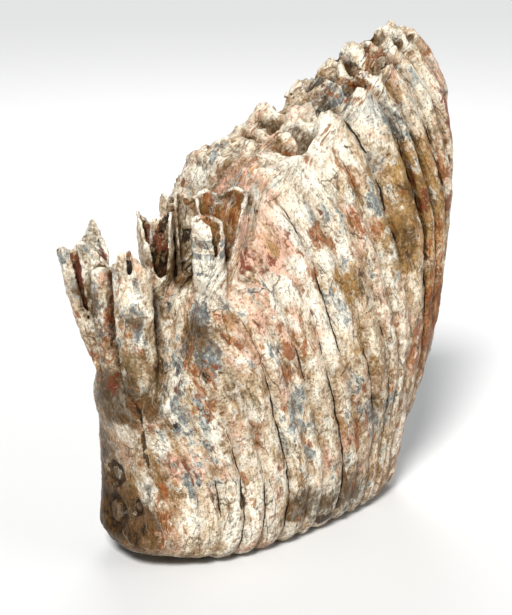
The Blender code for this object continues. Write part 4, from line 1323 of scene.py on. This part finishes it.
# %% Colours
# Red, green and blue from 0 to 255, as the eye sees them
TONES = {
    "beige": (218, 194, 164), "tan": (188, 156, 122), "cream": (248, 236, 212), "umber": (118, 86, 44),
    "grey": (164, 156, 130), "pink": (233, 184, 160), "drab": (116, 96, 56), "ochre": (168, 130, 72),
    "pale blue": (150, 160, 156), "deep blue": (58, 74, 88), "chalk": (253, 246, 228),
    "rust": (168, 96, 48), "light rust": (200, 148, 98), "dark rust": (108, 58, 28), "red": (130, 62, 46),
    "soot": (36, 28, 22), "earth": (86, 62, 28), "seam": (22, 18, 15), "dirt_and_shade": (72, 52, 28),
}
TONES = {name: linear_tone(*tone) for name, tone in TONES.items()}


def split(board, attribute):
    """The three channels of one of the mesh's attributes."""
    box = board.place("ShaderNodeAttribute", attribute_name=attribute)
    return board.place("ShaderNodeSeparateXYZ", inputs={"Vector": box.outputs["Vector"]}).outputs


def lay(board, colour, share, strength, top):
    """The top colour laid over another where its share is high, at most to the strength."""
    return board.over(board.times(share, strength), colour, top)


def ground_colour(board, grain, place, tone, fine, dust):
    """Bare cement: beige and tan clouds, with cream and umber mottling down to a millimetre."""
    broad = board.noise(grain, 0.9, 4.0, 0.55)
    pale = board.noise(grain, 1.7, 6.0, 0.66, 0.3)
    brown = board.noise(place, 160.0, 6.0, 0.72, 0.2)
    colour = board.over(board.slide(broad, 0.42, 0.58), TONES["beige"], TONES["tan"])
    pale = board.sum("MULTIPLY_ADD", tone, 0.11, pale)
    brown = board.sum("MULTIPLY_ADD", tone, -0.11, brown)
    colour = board.over(board.slide(pale, 0.47, 0.58, 0.0, 0.85), colour, TONES["cream"])
    colour = board.over(board.slide(brown, 0.52, 0.62, 0.0, 0.85), colour, TONES["umber"])
    colour = board.over(board.slide(fine, 0.54, 0.62, 0.0, 0.45), colour, TONES["grey"])
    return board.over(board.slide(dust, 0.55, 0.64, 0.0, 0.60), colour, TONES["cream"])


print(len(TONES), "tones, from", min(TONES, key=lambda name: sum(TONES[name])), "to",
      max(TONES, key=lambda name: sum(TONES[name])))

# %% [markdown]
# Each mineral shows where its group says so, and covers the ground by a set strength. Two of
# them aren't one flat colour: blue enamel is flecked, and rust clouds from light to dark. The
# pale rim is chalk, where the blue enamel's share is only just too low for blue to show.

# %% Minerals over the ground
# Mineral, the group's scale, raggedness and softness, and how strongly it covers
LAYERS = {"pink": (1.2, 2.2, 0.34, 0.82), "drab": (1.6, 2.8, 0.26, 0.74), "ochre": (1.5, 2.8, 0.28, 0.80),
          "chalk": (1.4, 2.4, 0.22, 0.90), "rim": (1.8, 2.8, 0.16, 0.80), "blue": (1.8, 2.8, 0.20, 0.84),
          "rust": (2.0, 3.2, 0.20, 0.84), "red": (2.2, 3.2, 0.16, 0.85), "soot": (2.4, 2.4, 0.16, 0.94)}


def mineral_masks(board, grain, place):
    """Where each mineral lies, from the shares that the mesh keeps."""
    shares = dict(zip(("chalk", "pink", "blue"), split(board, "pale_minerals")))
    shares.update(zip(("rust", "red", "ochre"), split(board, "warm_minerals")))
    shares.update(zip(("soot", "drab"), split(board, "dark_minerals_and_shade")))
    shares["rim"] = board.sum("ADD", shares["blue"], 0.16)
    masks = {}
    for mineral, (scale, ragged, softness, _) in LAYERS.items():
        masks[mineral] = board.group(flaky, Grain=grain, Place=place, Share=shares[mineral], Scale=scale,
                                     Ragged=ragged, Softness=softness)["Mask"]
    return masks


def covered(board, colour, masks, fine, place, tone):
    """The minerals laid over the ground, with the broad pale and earthy tones under the rust."""
    flecks = board.noise(place, 420.0, 5.0, 0.7)
    tops = {mineral: TONES[mineral] for mineral in ("pink", "drab", "ochre", "chalk", "red", "soot")}
    tops["rim"] = TONES["chalk"]
    tops["blue"] = board.over(board.slide(flecks, 0.42, 0.58), TONES["deep blue"], TONES["pale blue"])
    cloud = board.noise(place, 150.0, 6.0, 0.72, 0.5)
    tops["rust"] = board.over(board.slide(cloud, 0.46, 0.60), TONES["rust"], TONES["light rust"])
    tops["rust"] = board.over(board.slide(fine, 0.46, 0.60), tops["rust"], TONES["dark rust"])
    shaken = board.sum("MULTIPLY_ADD", board.sum("SUBTRACT", cloud, 0.5), 3.6, tone)
    for mineral, (_, _, _, strength) in LAYERS.items():
        if mineral == "rust":
            bare_of_pink = board.slide(masks["pink"], 0.1, 0.9, 1.0, 0.35)
            pale = board.times(board.slide(shaken, 0.10, 1.00), bare_of_pink)
            colour = lay(board, colour, pale, 0.65, TONES["chalk"])
            colour = lay(board, colour, board.slide(shaken, -0.10, -1.00), 0.78, TONES["earth"])
        colour = lay(board, colour, masks[mineral], strength, tops[mineral])
    return colour


print("layers, the lowest first:", ", ".join(LAYERS))

# %% [markdown]
# Over the minerals lie the marks that break all of them: seams with a brown valley beside them, which is
# dirt and painted shade, cracks, specks, the borders of lost flakes, and grit that fills the smallest pores.

# %% Fine marks
def fine_marks(board, grain, fibres, place, fine):
    """Masks of the marks that cross every mineral."""
    number, openness = split(board, "plates")[:2]
    seam = board.group(seams, Number=number, Openness=openness, Width=0.085)
    hair = board.group(cracks, Grain=grain, Scale=0.9, Width=0.035)["Mask"]
    hair = board.times(hair, board.slide(board.noise(grain, 0.8, 4.0, 0.55), 0.49, 0.59))
    craze = board.group(cracks, Grain=fibres, Scale=3.4, Width=0.06)["Mask"]
    craze = board.times(craze, board.slide(board.noise(grain, 1.1, 5.0, 0.62, 0.4), 0.51, 0.60))
    return {
        "contour": board.group(contours, Grain=grain, Scale=0.5, Rings=8.0, Width=0.07)["Mask"],
        "grit": board.slide(board.noise(place, 560.0, 4.0, 0.72), 0.40, 0.46, 1.0, 0.0),
        "speck": board.group(specks, Place=place, Scale=420.0, Size=0.34, Share=0.30)["Mask"],
        "hair": board.sum("MAXIMUM", hair, board.times(craze, 0.8)),
        # The umber valley beside each groove is dirt and painted shade.
        "valley": board.times(seam["Valley"], board.slide(fine, 0.42, 0.54)),
        "seam": seam["Mask"],
    }


# How strongly each mark covers, and its tone, the lowest first
# The valley mark is dirt and painted shade in the grooves.
MARKS = {"contour": (0.28, "cream"), "grit": (0.50, "umber"), "speck": (0.55, "dirt_and_shade"),
         "hair": (0.72, "dirt_and_shade"), "valley": (0.50, "umber")}
print("marks:", ", ".join(MARKS), "and the seams")

# %% [markdown]
# Last comes the surface itself. Dirt and painted shade in the recesses darken whatever lies under them, so
# they multiply the colour instead of covering it. Worn enamel and cement have a low sheen, chalk and the
# dirty, shaded recesses are dull, and a thin coat stands for the polish that handling leaves on the high
# parts. The bump gives every flake and crack its tiny step, down to a size the mesh can't hold.

# %% The surface
DIRT_AND_SHADE_TINT = (0.30, 0.235, 0.16)         # what is left of red, green and blue under dirt and painted shade
FIBRE_STRETCH = (1.0, 0.5, 1.0)
BUMP_HEIGHT = 0.0006


def fossil_colour(board, masks, marks, dirt_and_shade, fine, dust, grain, place):
    """Ground, minerals, marks, and dirt with painted shade in the recesses, then a light and dark grain over
    them all.
    """
    tone = split(board, "plates")[2]
    ground = ground_colour(board, grain, place, tone, fine, dust)
    colour = covered(board, ground, masks, fine, place, tone)
    for mark, (strength, name) in MARKS.items():
        colour = lay(board, colour, marks[mark], strength, TONES[name])
    # Dirt and painted shade darken the recesses by multiplying the colour.
    colour = lay(board, colour, dirt_and_shade, 0.85, board.scaled(colour, DIRT_AND_SHADE_TINT))
    colour = lay(board, colour, marks["seam"], 0.95, TONES["seam"])
    shade = board.sum("MULTIPLY_ADD", tone, 0.11, 0.915)
    shade = board.times(shade, board.slide(fine, 0.36, 0.62, 0.80, 1.12))
    shade = board.times(shade, board.slide(dust, 0.38, 0.62, 0.88, 1.08))
    shaded = board.place("ShaderNodeVectorMath", operation="SCALE", inputs={0: colour, "Scale": shade})
    return shaded.outputs[0]


def fossil_surface():
    """The one material of the whole tooth."""
    material = bpy.data.materials.new("fossil_cement_and_enamel")
    material.use_nodes = True
    board = Board(material.node_tree)
    surface = material.node_tree.nodes["Principled BSDF"].inputs
    place = board.place("ShaderNodeTexCoord").outputs["Object"]
    grain = board.place("ShaderNodeAttribute", attribute_name="grain").outputs["Vector"]
    fibres = board.scaled(grain, FIBRE_STRETCH)
    fine = board.noise(fibres, 6.5, 6.0, 0.72)
    dust = board.noise(place, 1000.0, 4.0, 0.70)
    masks = mineral_masks(board, grain, place)
    marks = fine_marks(board, grain, fibres, place, fine)
    recess = split(board, "dark_minerals_and_shade")[2]
    # Darkening of the recesses, dirt and painted shade, shaken by fine noise.
    dirt_and_shade = board.slide(board.sum("ADD", recess, board.sum("SUBTRACT", fine, 0.5)), 0.20, 0.62)
    board.feed(surface["Base Color"], fossil_colour(board, masks, marks, dirt_and_shade, fine, dust, grain, place))

    rough = board.added(0.40, (masks["chalk"], 0.12), (dirt_and_shade, 0.25), (masks["pink"], -0.06))
    board.feed(surface["Roughness"], board.sum("ADD", rough, board.slide(fine, 0.35, 0.65, -0.08, 0.10)))
    board.feed(surface["Coat Weight"], board.slide(dirt_and_shade, 0.0, 0.7, 0.20, 0.02))
    surface["Coat Roughness"].default_value = 0.20
    surface["Specular IOR Level"].default_value = 0.12

    height = board.added(
        board.times(fine, 2.2), (masks["chalk"], 0.35), (masks["blue"], -0.35), (masks["rust"], -0.25),
        (marks["contour"], 0.30), (marks["seam"], -1.2), (marks["hair"], -0.8), (marks["speck"], -0.40),
        (dust, 1.2), (marks["grit"], -0.25))
    bump = board.place("ShaderNodeBump", inputs={"Height": height, "Strength": 0.9, "Distance": BUMP_HEIGHT})
    board.feed(surface["Normal"], bump.outputs[0])
    return material


tooth = into_scene("mammoth_tooth_fossil", tooth_mesh)
tooth_mesh.materials.clear()
tooth_mesh.materials.append(fossil_surface())
print("boxes in the material:", len(tooth_mesh.materials[0].node_tree.nodes))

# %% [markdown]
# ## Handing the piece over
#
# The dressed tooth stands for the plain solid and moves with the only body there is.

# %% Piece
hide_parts("mammoth_tooth")
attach(tooth, "root")
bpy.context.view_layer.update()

# %% [markdown]
# ## Floor, light and camera
#
# A collector's tooth is shown on a plain ground under soft light. One wide lamp above the
# front gives the ribs their shadows, a weak one fills the other side, and the pale
# surroundings do the rest. A long lens keeps the upright lines upright.

# %% Stage
TARGET = Vector((0.03136562, 0.02109348, 0.11058885))
VIEW_AZIMUTH = math.radians(-38)
VIEW_ELEVATION = math.radians(18)
VIEW_DISTANCE = 1.05


def pale_floor():
    """A wide disc of pale paper."""
    disc = bmesh.new()
    bmesh.ops.create_circle(disc, cap_ends=True, segments=64, radius=12.0)
    mesh = bpy.data.meshes.new("pale_floor")
    disc.to_mesh(mesh)
    disc.free()
    material = bpy.data.materials.new("pale_paper")
    material.use_nodes = True
    paper = material.node_tree.nodes["Principled BSDF"].inputs
    paper["Base Color"].default_value = (0.60, 0.60, 0.59, 1.0)
    paper["Roughness"].default_value = 0.7
    mesh.materials.append(material)
    return into_scene("pale_floor", mesh)


def put_up(name, data, place, aim):
    """Puts a light or the camera at its place, turned so that it looks at the aim."""
    thing = into_scene(name, data)
    thing.location = place
    thing.rotation_euler = (Vector(place) - Vector(aim)).to_track_quat("Z", "Y").to_euler()
    return thing


def soft_lamp(name, place, watts, size):
    lamp = bpy.data.lights.new(name, "AREA")
    lamp.energy = watts
    lamp.size = size
    put_up(name, lamp, place, TARGET)


def soft_sun(name, place, strength):
    """Light that falls evenly from one side, from a wide patch of sky so its shadows are soft."""
    sun = bpy.data.lights.new(name, "SUN")
    sun.energy = strength
    sun.angle = math.radians(14)
    put_up(name, sun, place, (0, 0, 0))


def long_lens_camera():
    lens = bpy.data.cameras.new("camera")
    lens.lens = 120
    lens.sensor_width = 36
    back = Vector((math.sin(VIEW_AZIMUTH) * math.cos(VIEW_ELEVATION),
                   -math.cos(VIEW_AZIMUTH) * math.cos(VIEW_ELEVATION), math.sin(VIEW_ELEVATION)))
    bpy.context.scene.camera = put_up("camera", lens, TARGET + back * VIEW_DISTANCE, TARGET)


pale_floor()
soft_sun("sun_above_front", (-0.66, -0.60, 0.84), 4.3)
soft_lamp("lamp_right_fill", (0.45, -1.00, 0.60), 4.0, 0.7)
soft_lamp("lamp_behind", (0.50, 0.70, 0.80), 4.0, 0.5)
long_lens_camera()

world = bpy.data.worlds.new("soft_surroundings")
world.use_nodes = True
surroundings = world.node_tree.nodes["Background"].inputs
surroundings["Color"].default_value = (0.90, 0.93, 1.0, 1.0)
surroundings["Strength"].default_value = 0.22
bpy.context.scene.world = world
bpy.context.scene.view_settings.view_transform = "Standard"
bpy.context.scene.view_settings.look = "Medium High Contrast"
